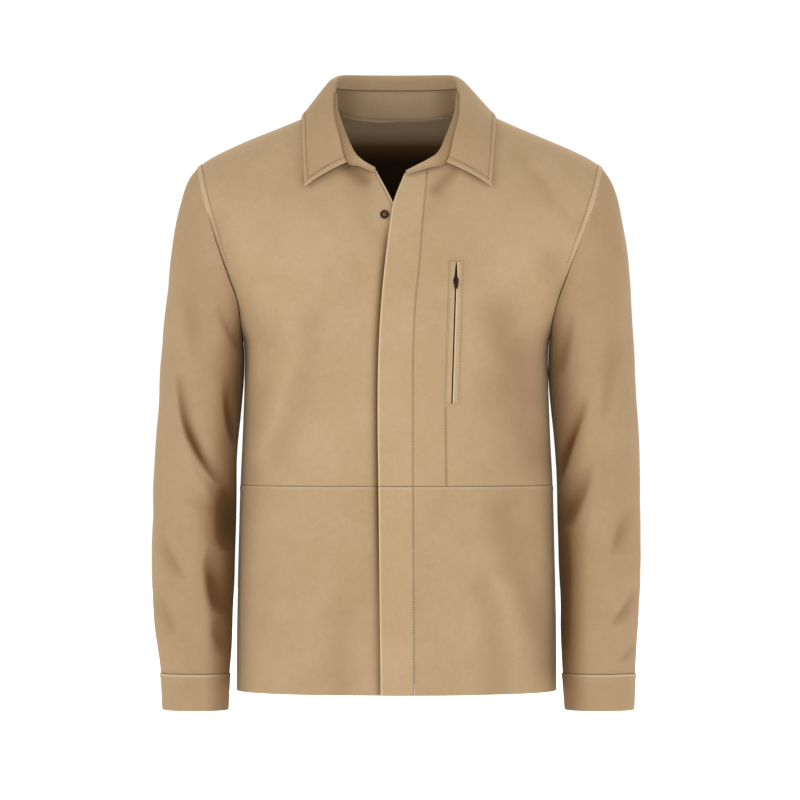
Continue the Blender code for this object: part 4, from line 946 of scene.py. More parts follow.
standEnd = {
    "right": columns("station neck  rollX rollY  rollZ  width  seamX  seamY  seamZ",
                     (9.0,    0.24, 42.0, -90.5, -55.0, 3.5,   44.4,  -92.0, -61.6),
                     (10.0,   0.12, 33.0, -92.0, -60.8, 3.0,   34.2,  -93.5, -66.0),
                     (11.0,   0.02, 24.8, -92.5, -65.2, 2.5,   25.6,  -94.5, -68.6)),
    "left": columns("station neck  rollX rollY  rollZ  width  seamX  seamY  seamZ",
                    (9.0,    0.27, 38.0, -93.5, -55.0, 3.5,   40.0,  -95.5, -63.3),
                    (10.0,   0.14, 24.5, -95.5, -62.0, 3.0,   25.5,  -97.0, -67.5),
                    (11.0,   0.02, 11.0, -96.0, -68.8, 2.5,   11.6,  -98.0, -72.0))}


def neckPoint(side, way):
    # On the neck seam: 0 is the front corner, 1 the shoulder line and 2 the middle of the back
    frontX, frontZ = cornerOf(side, way)
    backX, backZ = [smooth(way - 1.0, backNeck["way"], backNeck[axis]) for axis in "xz"]
    return np.where((way < 1.0)[:, None], frontPoint(side, sideSigns[side] * frontX, frontZ),
                    backPoint(side, sideSigns[side] * backX, backZ))


def collarControls(side):
    # Four control points for each station: the stand's from the neck seam to the seam of stand
    # and leaf, the leaf's from there over the turn to its free edge. In front of the crossing the
    # turn lies on the stand itself.
    sign, sizes = sideSigns[side], collarSizes
    merged = {name: np.concatenate((collarForm[name], values))
              for name, values in standEnd[side].items()}
    lines = (merged, "roll"), (merged, "seam"), (leafEdge[side], "edge")
    roll, seam, edge = [np.stack((sign * data[key + "X"], data[key + "Y"], data[key + "Z"]), -1)
                        for data, key in lines]
    neck, count = neckPoint(side, merged["neck"]), len(edge)
    outward = unit((np.concatenate((edge, seam[count:])) - neck) * (1.0, 1.0, 0.0))
    half = merged["width"][:, None] / 2
    station = merged["station"][:, None]
    turned, crossing = station > sizes["crossing"], station == sizes["crossing"]
    level = unit(np.where(turned, seam - roll, outward))
    near = roll - level * half
    far = roll + level * half * np.where(turned, sizes["turnedWidth"], 1.0)
    seam = np.where(crossing, roll + (0.0, 0.0, 1.0), seam)
    stand = [neck,
             np.where(turned, near, neck * 0.67 + np.where(crossing, near, seam) * 0.33),
             np.where(turned, far, np.where(crossing, near, neck * 0.33 + seam * 0.67)),
             seam]
    seam, near, far, turned, crossing = [
        item[:count] for item in (seam, near, far, turned, crossing)]
    swell = np.array(sizes["swell"]) * (sign, 1.0, 1.0)
    leaf = [seam,
            np.where(turned, seam * 0.75 + edge * 0.25 + swell * 0.6,
                     np.where(crossing, far, near)),
            np.where(turned, seam * 0.4 + edge * 0.6 + swell,
                     np.where(crossing, far * 0.6 + edge * 0.4, far)),
            edge]
    return merged["station"], np.stack(stand, 1), np.stack(leaf, 1)


def atStations(stations, controls, at):   # each control point on a smooth curve through its column
    flat = controls.reshape(len(stations), -1)
    return np.stack([smooth(at, stations, column) for column in flat.T], -1).reshape(len(at), 4, 3)


def roundedLines(controls, ways):
    # A line for each station: straight from the first control point to the middle of the first
    # leg, a parabola from each leg's middle to the next one's, and straight to the last point.
    # Its points are then spaced by the given shares of its length.
    t = np.linspace(0.0, 1.0, 17)[None, :, None]
    p = [controls[:, k][:, None] for k in range(4)]
    mid = [(p[k] + p[k + 1]) / 2 for k in range(3)]
    arcs = [a * (1 - t) ** 2 + 2 * b * t * (1 - t) + c * t ** 2
            for a, b, c in ((mid[0], p[1], mid[1]), (mid[1], p[2], mid[2]))]
    line = np.concatenate((p[0], arcs[0][:, :-1], arcs[1], p[3]), axis=1)
    lengths = lengthsAlong(line, 1)
    return np.stack([pointsAt(line, lengths, lengths[:, -1] * way) for way in ways], 1)


def collarGrids():
    # The stand and the leaf, each joined from its two halves in the middle of the back
    sizes = collarSizes
    fine = (1.0 - np.cos(np.linspace(0.0, math.pi / 2, 5))) * sizes["endRun"]
    standWays = gradedWay(sizes["standLength"], sizes["step"],
                          (sizes["neckClear"], sizes["seamHalf"]),
                          (sizes["footTurn"], sizes["seamTurn"]))
    leafWays = gradedWay(sizes["leafLength"], sizes["step"], (sizes["seamHalf"], 0.0),
                         (sizes["seamTurn"], sizes["edgeTurn"]),
                         (sizes["leafLength"] - sizes["lane"],))
    halves = {"stand": [], "leaf": []}
    for side in sideSigns:
        stations, stand, leaf = collarControls(side)
        for name, controls, last, ways in (("stand", stand, stations[-1], standWays),
                                           ("leaf", leaf, sizes["lastLeaf"], leafWays)):
            even = np.arange(0.0, last, sizes["stationStep"])
            at = np.unique(np.concatenate((even[even < last - sizes["endClear"]], last - fine)))
            grid = atStations(stations[:len(controls)], controls, at)
            if name == "leaf":
                grid[:, 0] = atStations(stations, stand, at)[:, -1]
            halves[name].append(roundedLines(grid, ways))
    return {name: np.concatenate((right[::-1][:-1], left), axis=0).transpose(1, 0, 2)
            for name, (right, left) in halves.items()}


def makeCollar(material):
    # The lines of the stand and the leaf as doubled walls round them. The leaf has a lane of
    # topstitching round its free edges; inside the neck the stand has a painted pale line like a
    # piping.
    sizes, pieces = collarSizes, {}
    turns = {"v0": sizes["seamTurn"], "v1": sizes["edgeTurn"],
             "u0": sizes["sideTurn"], "u1": sizes["sideTurn"]}
    for name, grid in collarGrids().items():
        way = unit(np.cross(np.gradient(grid, axis=1), np.gradient(grid, axis=0)))
        way = -way if way[len(way) // 2, grid.shape[1] // 2, 1] > 0.0 else way
        up, across = lengthsAlong(grid, 0), lengthsAlong(grid, 1)
        fromSides = np.minimum(across, across[:, -1:] - across)
        if name == "leaf":
            fromEdge = np.minimum(up[-1:] - up, fromSides)
            relief = laneRelief(fromEdge, sizes["lane"], sizes["laneRise"])
            # Painted highlights on the leaf's lane and edges, painted shade in the lane's groove,
            # at its foot and along its sides
            wear = sizes["lanePale"] * (fromEdge < sizes["lane"]) + wearLine("leafEdge", fromEdge)
            wear = wear + wearLine("leafLane", fromEdge - sizes["lane"]) + wearLine("leafFoot", up)
            wear = wear + wearLine("leafSides", fromSides - sizes["lane"])
            hollow, innerWear = 0.0, 0.0
        else:
            relief = 0.0 * up
            # Painted highlights on the stand's ends and foot; inside, a painted pale line with
            # painted shade beside it
            wear = wearLine("standEnds", fromSides) + wearLine("standFoot", up)
            innerWear = wearLine("standPiping", up - sizes["piping"])
            innerWear = innerWear + wearLine("standLane", up - sizes["pipingLane"])
        grid = grid - way * (relief + clothSizes["doubled"] / 2)[..., None]
        # Painted shade on the stand's inner face, more towards its ends
        if name == "stand":
            outward = (np.abs(grid[..., 0]) - sizes["sideFrom"]) / sizes["sideRun"]
            hollow = sizes["hollow"] + sizes["sideHollow"] * ease(outward)
        pieces[f"collar_{name}"] = sewPanel(
            f"collar_{name}", grid, way, clothSizes["doubled"], material, turns, wear=wear,
            shade=suedeShade["panelShade"]["collar"], hollow=hollow, innerWear=innerWear)
    return pieces


# Chest pocket: two welts with a zip between them

pocketSizes = {
    "top": (70.4, -174.3), "end": (64.8, -343.0),      # x and z of its middle line
    "width": 16.0, "lay": 0.4, "slit": 0.8, "slitRun": 0.05,
    "weltLength": 168.8, "weltWidth": 6.4, "weltThick": 1.0, "weltSwell": 0.25,
    "weltTurns": (0.6, 0.5), "weltSteps": (2.0, 0.8),  # along and across
    "partTo": 0.125, "partHalf": 1.5, "closeRun": 0.045,   # how far the zip is open
    "partShare": 0.75,           # of it that the welts follow
    "tapeLength": 165.0, "tapeHalf": 2.6, "tapeThick": 0.3, "tapeTurn": 0.15,
    "tapeTurns": (0.5, 0.4), "tapeSteps": (2.0, 0.7), "tapeEnds": 0.01, "tapeTop": 0.35,
    "toothPitch": 1.5, "toothSize": (1.1, 0.8, 0.8), "toothIn": 0.3, "toothEnds": (0.02, 0.985)}


def pocketLength():   # of its middle line as seen from the front
    (topX, topZ), (endX, endZ) = pocketSizes["top"], pocketSizes["end"]
    return math.hypot(endX - topX, endZ - topZ)


def pocketPoint(across, way, out):
    # A place on the left front, lifted off it along the product of its two slopes: across is
    # measured from the pocket's middle line, way goes from 0 at its top to 1 at its end
    (topX, topZ), (endX, endZ) = pocketSizes["top"], pocketSizes["end"]
    x = topX + (endX - topX) * way + across
    z = topZ + (endZ - topZ) * way + 0.0 * across
    x, z = np.broadcast_arrays(x, z)
    under = frontPoint("left", x, z)
    side = frontPoint("left", x + 1.0, z) - under
    rise = frontPoint("left", x, z + 1.0) - under
    return under + unit(np.cross(side, rise)) * np.asarray(out)[..., None]


def zipParting(way):   # how far each side stands from the middle line: widest at the slider
    sizes = pocketSizes
    opened = np.clip(way / sizes["partTo"], 0.0, 1.0) ** 1.3
    return sizes["partHalf"] * opened * (1.0 - ease((way - sizes["partTo"]) / sizes["closeRun"]))


def makeWelts(material):
    # Two strips from the zip's lip to the pocket's edge, a little fuller in the middle
    sizes, pieces = pocketSizes, []
    half, (endTurn, sideTurn) = sizes["width"] / 2, sizes["weltTurns"]
    way, share = [gradedWay(length, step, (0.0, 0.0), (turn, turn)) for length, step, turn in zip(
        (sizes["weltLength"], sizes["weltWidth"]), sizes["weltSteps"], sizes["weltTurns"])]
    way = way[:, None]
    for name, sign, lip in (("inner", -1.0, "innerLip"), ("outer", 1.0, "weltLip")):
        inner = sizes["slit"] * (0.5 + 0.5 * ease(way / sizes["slitRun"]))
        inner = inner + zipParting(way) * sizes["partShare"]
        distance = inner + (half - inner) * share
        out = sizes["lay"] + sizes["weltThick"] + sizes["weltSwell"] * np.sin(share * math.pi)
        grid = pocketPoint(sign * distance, way, out + 0.0 * way)
        under = pocketPoint(sign * distance, way, sizes["lay"] + 0.0 * distance)
        if sign < 0.0:
            grid, under = grid[:, ::-1], under[:, ::-1]
        across = lengthsAlong(grid, 1)
        fromLip = across if sign > 0.0 else across[:, -1:] - across
        # Painted highlights on the lips by the zip and on the outer edges
        wear = wearLine("weltEdge", across[:, -1:] - fromLip) + wearLine(lip, fromLip - 0.4)
        turns = {"v0": endTurn, "v1": endTurn, "u0": sideTurn, "u1": sideTurn}
        piece = clothWall(f"suede_welt_{name}", grid, unit(under - grid), sizes["weltThick"],
                          material, turns, wear=wear)
        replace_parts(piece, f"pocket_jet_{name}")
        pieces.append(piece)
    return pieces


def boxParts(centres, sideWay, upWay, outWay, size):
    # One box with cut corners for each centre, turned to its three ways: an eight-sided outline
    # with a smaller top. Returns points and faces for all of them.
    halfX, halfZ, high = size[0] / 2, size[1] / 2, size[2]
    cut = 0.28 * min(size[0], size[1])
    corner = np.array(((halfX, halfZ - cut), (halfX - cut, halfZ)))
    ring = np.concatenate([corner[::turn] * signs for turn, signs in (
        (1, (1.0, 1.0)), (-1, (-1.0, 1.0)), (1, (-1.0, -1.0)), (-1, (1.0, -1.0)))])
    local = np.concatenate([np.column_stack((ring * shrink, np.full(8, level * high)))
                            for shrink, level in ((1.0, 0.0), (1.0, 0.65), (0.8, 1.0))])
    points = centres[:, None]
    for k, way in enumerate((sideWay, upWay, outWay)):
        points = points + local[None, :, k:k + 1] * way[:, None]
    k = np.arange(8)
    ahead = (k + 1) % 8
    walls = [np.stack((k, ahead, ahead + 8, k + 8), -1) + 8 * row for row in (0, 1)]
    lids = [np.array(((0, 7, 6, 1), (1, 6, 5, 2), (2, 5, 4, 3))),
            np.array(((1, 6, 7, 0), (2, 5, 6, 1), (3, 4, 5, 2))) + 16]
    faces = np.concatenate((*walls, *lids))
    faces = (faces[None] + 24 * np.arange(len(centres))[:, None, None]).reshape(-1, 4)
    return points.reshape(-1, 3), faces


def makeZip(tapeMaterial, metal):
    # The tape fills the slit. Two rows of teeth mesh below the slider and part above it.
    sizes, ends, half = pocketSizes, pocketSizes["tapeEnds"], pocketSizes["tapeHalf"]
    way, share = [gradedWay(length, step, (0.0, 0.0), (turn, turn)) for length, step, turn in zip(
        (sizes["tapeLength"], 2.0 * half), sizes["tapeSteps"], sizes["tapeTurns"])]
    way = way[:, None] * (1.0 - 2.0 * ends) + ends
    share = share[None, :] * 2.0 - 1.0
    high = sizes["tapeTop"]
    grid, under = [pocketPoint(half * share, way, out + 0.0 * way * share)
                   for out in (high, high - sizes["tapeThick"])]
    tape = clothWall("zip_tape", grid, unit(under - grid), sizes["tapeThick"], tapeMaterial,
                     dict.fromkeys(("v0", "v1", "u0", "u1"), sizes["tapeTurn"]))
    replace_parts(tape, "pocket_zip")
    pitch = sizes["toothPitch"] / pocketLength()
    ways = np.arange(*sizes["toothEnds"], pitch)
    rows = []
    for sign, shift in ((-1.0, 0.0), (1.0, 0.5)):
        at = ways + shift * pitch
        across = sign * (sizes["toothIn"] + zipParting(at))
        base = pocketPoint(across, at, high + 0.0 * at)
        up = unit(pocketPoint(across, at - 0.004, high + 0.0 * at) - base)
        out = unit(pocketPoint(across, at, high + 1.0 + 0.0 * at) - base)
        rows.append((base, np.cross(up, out), up, out))
    points, faces = boxParts(*[np.concatenate(item) for item in zip(*rows)], sizes["toothSize"])
    teeth = putMesh("zip_teeth", points, faces, metal)
    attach(teeth, "jacket")
    return [tape, teeth]


# Stitching

threadSizes = {
    "pitch": 3.4, "stitch": 2.0, "thick": 0.6, "sink": 0.12, "lookAhead": 0.8,
    "placketIn": 1.4, "pocketIn": 1.1, "panelIn": 1.5, "standIn": 1.6,   # from the edge or the seam
    "shoulderShare": 0.9, "neckEnd": -68.0, "pocketEnds": (0.012, 0.008), "panelEnds": (3.0, 2.0)}


def stitchPlaces(line, out, sizes=threadSizes):
    # Even places along a line of points, each with the line's own way, between a place ahead and
    # one behind, and the cloth's outward way
    length = lengthsAlong(line[None], 1)[0]
    at = np.arange(sizes["pitch"] / 2, length[-1], sizes["pitch"])
    centre, ahead, behind = [np.stack([np.interp(at + d, length, line[:, k]) for k in range(3)], -1)
                             for d in (0.0, sizes["lookAhead"], -sizes["lookAhead"])]
    outward = unit(np.stack([np.interp(at, length, out[:, k]) for k in range(3)], -1))
    return centre, unit(ahead - behind), outward


def makeStitches(name, runs, material, sizes=threadSizes):
    # Each stitch is a short thread with round ends: a circle of six points carried along the
    # line, narrowing as a half circle at both ends and dipping into the cloth there.
    places = [stitchPlaces(*run) for run in runs]
    centre, along, out = [np.concatenate(item) for item in zip(*places)]
    side = np.cross(along, out)
    t = np.array((-1.0, -0.86, -0.5, 0.0, 0.5, 0.86, 1.0))
    radius = sizes["thick"] / 2 * np.sqrt(np.clip(1.0 - np.abs(t) ** 4, 0.03, 1.0))
    turn = np.arange(6) * math.pi / 3
    lift = sizes["thick"] / 2 * (1.0 - 1.6 * t ** 4) - sizes["sink"]
    run = (t * sizes["stitch"] / 2)[None, :, None, None] * along[:, None, None]
    rise = (lift[:, None] + radius[:, None] * np.sin(turn))[None, :, :, None] * out[:, None, None]
    wide = (radius[:, None] * np.cos(turn))[None, :, :, None] * side[:, None, None]
    points = (centre[:, None, None] + run + rise + wide).reshape(-1, 3)
    row, k = [item.ravel() for item in np.meshgrid(np.arange(6), np.arange(6), indexing="ij")]
    here, ahead = row * 6 + k, row * 6 + (k + 1) % 6
    faces = np.stack((here, ahead, ahead + 6, here + 6), -1)
    ends = (3, 2, 1, 0), (5, 4, 3, 0), (36, 37, 38, 39), (36, 39, 40, 41)
    faces = np.concatenate((faces, ends))
    faces = (faces[None] + 42 * np.arange(len(centre))[:, None, None]).reshape(-1, 4)
    item = putMesh(name, points, faces, material)
    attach(item, "jacket")
    return item


def acrossRun(cloth, distance, rows=slice(None), fromEnd=False):
    # A stitch run at a distance from one of a cloth's side edges, with the cloth's outward ways
    grid, way = cloth["grid"][rows], cloth["way"][rows]
    if fromEnd:
        grid, way = grid[:, ::-1], way[:, ::-1]
    lengths = lengthsAlong(grid, 1)
    target = np.full(len(grid), distance)
    return pointsAt(grid, lengths, target), -pointsAt(way, lengths, target)


def upRun(cloth, distance, part=slice(None), fromEnd=False):   # the same, from its foot or its top
    turned = {key: cloth[key].transpose(1, 0, 2) for key in ("grid", "way")}
    return acrossRun(turned, distance, part, fromEnd)


def innerFace(cloth, thick):   # the same cloth's inner face, for runs on it
    return {"grid": cloth["grid"] + cloth["way"] * thick, "way": -cloth["way"]}


def suedeRuns(cloths):
    # Every line of topstitching. The lanes are those that the panels' own relief follows.
    sizes, runs = frontSizes, []
    for side in sideSigns:
        front = cloths[f"front_{side}_upper"]
        high = front["grid"][:, 0, 2]
        runs.append(acrossRun(front, sizes["armLane"], high > sizes["armLaneFrom"]))
    front = cloths["front_right_upper"]
    top, edge = front["grid"][-1, :, 0], front["grid"][:, -1, 2]
    shoulder = top > -threadSizes["shoulderShare"] * sizes["shoulderLaneRun"]
    runs.append(upRun(front, sizes["shoulderLane"], shoulder, True))
    openNeck = (edge > sizes["edgeLaneTo"]) & (edge < threadSizes["neckEnd"])
    runs.append(acrossRun(front, sizes["edgeLane"], openNeck, True))
    for part in ("upper", "lower"):
        runs.append(acrossRun(cloths[f"placket_{part}"], threadSizes["placketIn"],
                              slice(2, -2), True))
    leaf, lane = cloths["collar_leaf"], collarSizes["lane"]
    runs.append(upRun(leaf, lane, slice(7, -7), True))
    runs += [acrossRun(leaf, lane, slice(6, -6), end) for end in (False, True)]
    inner = innerFace(cloths["collar_stand"], clothSizes["doubled"])
    runs += [upRun(inner, threadSizes["standIn"], slice(4, -4), end) for end in (False, True)]
    return runs


def pocketRuns():   # round the welts, and down the panel seam from the pocket to the waist
    sizes, (sideEnd, crossEnd) = pocketSizes, threadSizes["pocketEnds"]
    at = np.linspace(sideEnd, 1.0 - sideEnd, 90)
    high = sizes["lay"] + sizes["weltThick"] + 0.05
    half = sizes["width"] / 2 - threadSizes["pocketIn"]
    lines = [(sign * half + 0.0 * at, at, high) for sign in (-1.0, 1.0)]
    lines += [(np.linspace(-half, half, 12), way + np.zeros(12), high)
              for way in (crossEnd, 1.0 - crossEnd)]
    seamX, seamZ = frontSizes["panelSeamX"], frontSizes["panelSeamZ"]
    below, above = threadSizes["panelEnds"]
    z = np.linspace(seamZ[0] - below, seamZ[1] + above, 40)
    (topX, topZ), (endX, endZ) = sizes["top"], sizes["end"]
    way = (z - topZ) / (endZ - topZ)
    across = np.interp(-z, -np.array(seamZ), seamX) - threadSizes["panelIn"]
    across = across - topX - (endX - topX) * way
    lines.append((across, way, 0.0))
    runs = []
    for across, way, out in lines:
        base = pocketPoint(across, way, out)
        runs.append((base, pocketPoint(across, way, out + 1.0) - base))
    return runs


# Metal parts

metalSizes = {
    "sliderWay": 0.117,          # the slider's top, as a share of the pocket's length
    "base": 1.7, "bridgeDrop": 1.6, "bridgeFoot": 1.3, "pullDrop": 2.0, "pullGap": 0.3,
    "studAt": (-14.0, -119.5), "studHollow": 2.9, "sharpAngle": 38.0}

# The zip's plates: width, height and thickness, the power that squares their corners, and their
# layers from the foot up, each a share of the outline and a share of the thickness
zipPlates = {
    "slider": ((6.0, 8.5, 1.6), 3.4,
               ((0.02, 0.0), (0.96, 0.0), (1.0, 0.2), (1.0, 0.62), (0.86, 1.0), (0.7, 0.86),
                (0.02, 0.86))),
    "bridge": ((1.7, 5.0, 1.2), 2.6,
               ((0.02, 0.0), (1.0, 0.0), (1.0, 0.6), (0.75, 1.0), (0.02, 1.1))),
    "pull": ((4.4, 12.0, 1.1), 3.0,
             ((0.02, 0.0), (0.94, 0.0), (1.0, 0.25), (1.0, 0.7), (0.9, 1.0), (0.66, 1.0),
              (0.56, 0.6), (0.02, 0.6)))}

studProfile = columns("radius height",
                      (0.15,  0.20),
                      (5.10,  0.20),
                      (5.25,  0.90),
                      (5.10,  1.70),
                      (4.70,  2.35),
                      (4.10,  2.68),
                      (3.50,  2.62),
                      (3.05,  2.25),
                      (2.75,  1.80),
                      (1.90,  1.72),
                      (1.40,  1.95),
                      (0.15,  2.08))


def ringsPiece(name, rings, material, body, attributes=None):
    # A closed skin from rings of points, each ring joined to the next, with flat ends
    rows, count = rings.shape[:2]
    index = np.arange(rows * count).reshape(rows, count)
    ahead = np.roll(index, -1, axis=1)
    quads = np.stack((index[:-1], ahead[:-1], ahead[1:], index[1:]), -1).reshape(-1, 4)
    if signedVolume(rings.reshape(-1, 3), quads) < 0.0:
        quads, index = quads[:, ::-1], index[:, ::-1]
    faces = [*quads.tolist(), index[0][::-1].tolist(), index[-1].tolist()]
    mesh = bpy.data.meshes.new(name)
    mesh.from_pydata((rings.reshape(-1, 3) * mm).tolist(), [], faces)
    item = placeMesh(name, mesh, material, attributes)
    mesh.set_sharp_from_angle(angle=math.radians(metalSizes["sharpAngle"]))
    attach(item, body)
    return item


def plateRings(kind, middleWay, base, points=28):
    # One outline in layers over the pocket: |x/a| and |z/b| to a power sum to one. Each layer
    # shrinks and lifts it by its own shares.
    (width, height, thick), power, layers = zipPlates[kind]
    angle = np.arange(points) * 2.0 * math.pi / points
    curveX, curveZ = [np.sign(part) * np.abs(part) ** (2.0 / power)
                      for part in (np.cos(angle), np.sin(angle))]
    step = 3.0 / pocketLength()
    centre = pocketPoint(0.0, middleWay, base)
    sideWay = unit(pocketPoint(3.0, middleWay, base) - pocketPoint(-3.0, middleWay, base))
    upWay = unit(pocketPoint(0.0, middleWay - step, base)
                 - pocketPoint(0.0, middleWay + step, base))
    outWay = unit(np.cross(sideWay, upWay))
    outWay = -outWay if outWay[1] > 0.0 else outWay
    outline = width / 2 * curveX[:, None] * sideWay + height / 2 * curveZ[:, None] * upWay
    return np.array([centre + shrink * outline + thick * level * outWay
                     for shrink, level in layers])


def makeZipMetal(metal):   # the slider, the bridge on it and the pull tab that hangs from it
    sizes, length, pieces = metalSizes, pocketLength(), []
    sliderSize, pullSize, base = zipPlates["slider"][0], zipPlates["pull"][0], sizes["base"]
    for kind, name, body, drop, lift in (
            ("slider", "zip_slider_body", "jacket", sliderSize[1] / 2, 0.0),
            ("bridge", "zip_slider_bridge", "jacket", sizes["bridgeDrop"], sizes["bridgeFoot"]),
            ("pull", "zip_pull_tab", "pull_tab", sizes["pullDrop"] + pullSize[1] / 2,
             sliderSize[2] + sizes["pullGap"])):
        rings = plateRings(kind, sizes["sliderWay"] + drop / length, base + lift)
        pieces.append(ringsPiece(name, rings, metal, body))
    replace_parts(pieces[0], "zip_slider")
    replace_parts(pieces[2], "zip_pull")
    return pieces


def makeStud(metal):   # the snap's cap: its profile turned round the right front's outward way
    x, z = np.array(metalSizes["studAt"])
    side = unit(frontPoint("right", x + 1.0, z) - frontPoint("right", x - 1.0, z))
    out = unit(np.cross(side, frontPoint("right", x, z + 1.0) - frontPoint("right", x, z - 1.0)))
    turns = np.arange(48) * math.pi / 24
    ring = np.cos(turns)[:, None] * side + np.sin(turns)[:, None] * unit(np.cross(out, side))
    radius, height = studProfile["radius"], studProfile["height"]
    rings = frontPoint("right", x, z) + radius[:, None, None] * ring + height[:, None, None] * out
    # The middle of the cap takes the brass's paler brown
    paler = 1.0 * (radius < metalSizes["studHollow"]) * (height > 0.5)
    stud = ringsPiece("snap_stud_cap", rings, metal, "jacket",
                      {"wear": np.repeat(paler, len(turns))})
    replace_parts(stud, "snap_stud")


# Materials

def linearHex(code):   # an sRGB hex colour as linear red, green, blue and full opacity
    parts = [int(code[k:k + 2], 16) / 255.0 for k in (1, 3, 5)]
    return (*[c / 12.92 if c <= 0.04045 else ((c + 0.055) / 1.055) ** 2.4 for c in parts], 1.0)


def addNode(tree, kind, values=None, links=None, **settings):   # values and links go by input
    node = tree.nodes.new(kind)
    for key, value in settings.items():
        setattr(node, key, value)
    for key, value in (values or {}).items():
        node.inputs[key].default_value = value
    for key, source in (links or {}).items():
        tree.links.new(source, node.inputs[key])
    return node


def newMaterial(name, inputs):   # a material with these values on its shader
    material = bpy.data.materials.new(name)
    material.use_nodes = True
    tree = material.node_tree
    shader = tree.nodes["Principled BSDF"]
    for key, value in inputs.items():
        shader.inputs[key].default_value = value
    return material, tree, shader


def perMetre(size):   # a texture's scale from the size of its pattern in mm
    return 1.0 / (size * mm)


def twoTones(name, look, kind, values, **settings):
    # A material with one pattern on it and a colour that runs from dark to light along that
    material, tree, shader = newMaterial(name, {"Roughness": look["roughness"]})
    place = addNode(tree, "ShaderNodeTexCoord").outputs["Object"]
    pattern = addNode(tree, kind, values, {"Vector": place}, **settings).outputs["Fac"]
    tone = addNode(tree, "ShaderNodeMix",
                   {"A": linearHex(look["dark"]), "B": linearHex(look["light"])},
                   {"Factor": pattern}, data_type="RGBA").outputs["Result"]
    tree.links.new(tone, shader.inputs["Base Color"])
    return material, tree, shader, pattern, tone


# pale and shade are the colours of painted highlights and of painted shade in grooves, dim and deep
# those of painted shade where light is lost
suedeLook = {
    "light": "#c4a987", "dark": "#b3956f", "pale": "#dcc4a0", "shade": "#7d6140",
    "dim": "#6d4c29", "deep": "#160b03",
    "patchSize": 75.0, "napSize": 13.0, "grainSize": 1.7,
    "patchShare": 0.9, "napShare": 0.55, "grainShare": 0.5, "wearShare": 0.6,
    "deepFrom": 0.45, "shadeRun": 0.55,                # shares of lost light that turn it dark
    "roughness": 0.93, "specular": 0.2, "sheen": 0.12, "sheenRoughness": 0.5,
    "sheenTint": "#f2dcbc", "bumpStrength": 0.35, "bumpDepth": 0.12}


def makeSuede():
    # Goat suede, split and brushed: a short nap with no shine that lies in soft patches, a little
    # paler at grazing angles. Folded edges and raised lanes are painted paler, as painted highlight
    # and partly as rubbing, stitched grooves darker as painted shade, and creases, hollows and
    # insides get painted shade. The nap's fibres are 0.1 mm wide; the grain is drawn about fifteen
    # times coarser to show.
    look = suedeLook
    material, tree, shader = newMaterial("brushed_goat_suede", {
        "Roughness": look["roughness"], "Specular IOR Level": look["specular"],
        "Sheen Weight": look["sheen"], "Sheen Roughness": look["sheenRoughness"],
        "Sheen Tint": linearHex(look["sheenTint"])})
    place = addNode(tree, "ShaderNodeTexCoord").outputs["Object"]
    patterns = ("patchSize", 2.0, 0.4), ("napSize", 3.0, 1.4), ("grainSize", 2.0, 0.0)
    patch, nap, grain = [
        addNode(tree, "ShaderNodeTexNoise",
                {"Scale": perMetre(look[size]), "Detail": detail, "Distortion": bend},
                {"Vector": place}).outputs["Fac"]
        for size, detail, bend in patterns]
    shares = [look[key] for key in ("patchShare", "napShare", "grainShare")]
    total = 0.5 - sum(shares) / 2
    for source, share in zip((patch, nap, grain), shares):
        values, links = {1: share}, {0: source}
        (values if isinstance(total, float) else links)[2] = total
        total = addNode(tree, "ShaderNodeMath", values, links, operation="MULTIPLY_ADD").outputs[0]
    colour = addNode(tree, "ShaderNodeMix",
                     {"A": linearHex(look["dark"]), "B": linearHex(look["light"])},
                     {"Factor": total}, data_type="RGBA").outputs["Result"]
    # Painted highlights lighten towards pale, partly also rubbing; painted shade darkens towards
    # shade
    wear = addNode(tree, "ShaderNodeAttribute", attribute_name="wear").outputs["Fac"]
    for sign, code in ((1.0, "pale"), (-1.0, "shade")):
        share = addNode(tree, "ShaderNodeMath", {1: sign * look["wearShare"]}, {0: wear},
                        operation="MULTIPLY", use_clamp=True).outputs[0]
        colour = addNode(tree, "ShaderNodeMix", {"B": linearHex(look[code])},
                         {"Factor": share, "A": colour}, data_type="RGBA").outputs["Result"]
    # Painted shade: the lost light turns the colour to a warm brown, then to black
    shade = addNode(tree, "ShaderNodeAttribute", attribute_name="shade").outputs["Fac"]
    for code, start in (("dim", 0.0), ("deep", look["deepFrom"])):   # a warm brown, then black
        share = addNode(tree, "ShaderNodeMapRange",
                        {"From Min": start, "From Max": start + look["shadeRun"]},
                        {"Value": shade}).outputs["Result"]
        colour = addNode(tree, "ShaderNodeMix", {"B": linearHex(look[code])},
                         {"Factor": share, "A": colour}, data_type="RGBA").outputs["Result"]
    height = addNode(tree, "ShaderNodeMath", {1: 0.5}, {0: nap, 2: grain},
                     operation="MULTIPLY_ADD").outputs[0]
    bump = addNode(tree, "ShaderNodeBump",
                   {"Strength": look["bumpStrength"], "Distance": look["bumpDepth"] * mm},
                   {"Height": height}).outputs["Normal"]
    tree.links.new(colour, shader.inputs["Base Color"])
    tree.links.new(bump, shader.inputs["Normal"])
    return material


threadLook = {"dark": "#4c3822", "light": "#66502f", "roughness": 0.7, "twistSize": 0.9}
# The paler brown is that of the snap cap's middle
brassLook = {"dark": "#241a12", "light": "#3f2f23", "worn": "#6e5642", "roughness": 0.52,
             "smoothest": 0.34, "metallic": 0.85, "cloudSize": 1.4}
tapeLook = {"dark": "#17110c", "light": "#2c221a", "roughness": 0.9, "ribSize": 0.6}


def makeThread():   # core-spun polyester thread, a shade darker than the suede, with a faint gloss
    return twoTones("corespun_thread", threadLook, "ShaderNodeTexNoise",
                    {"Scale": perMetre(threadLook["twistSize"]), "Detail": 1.0})[0]


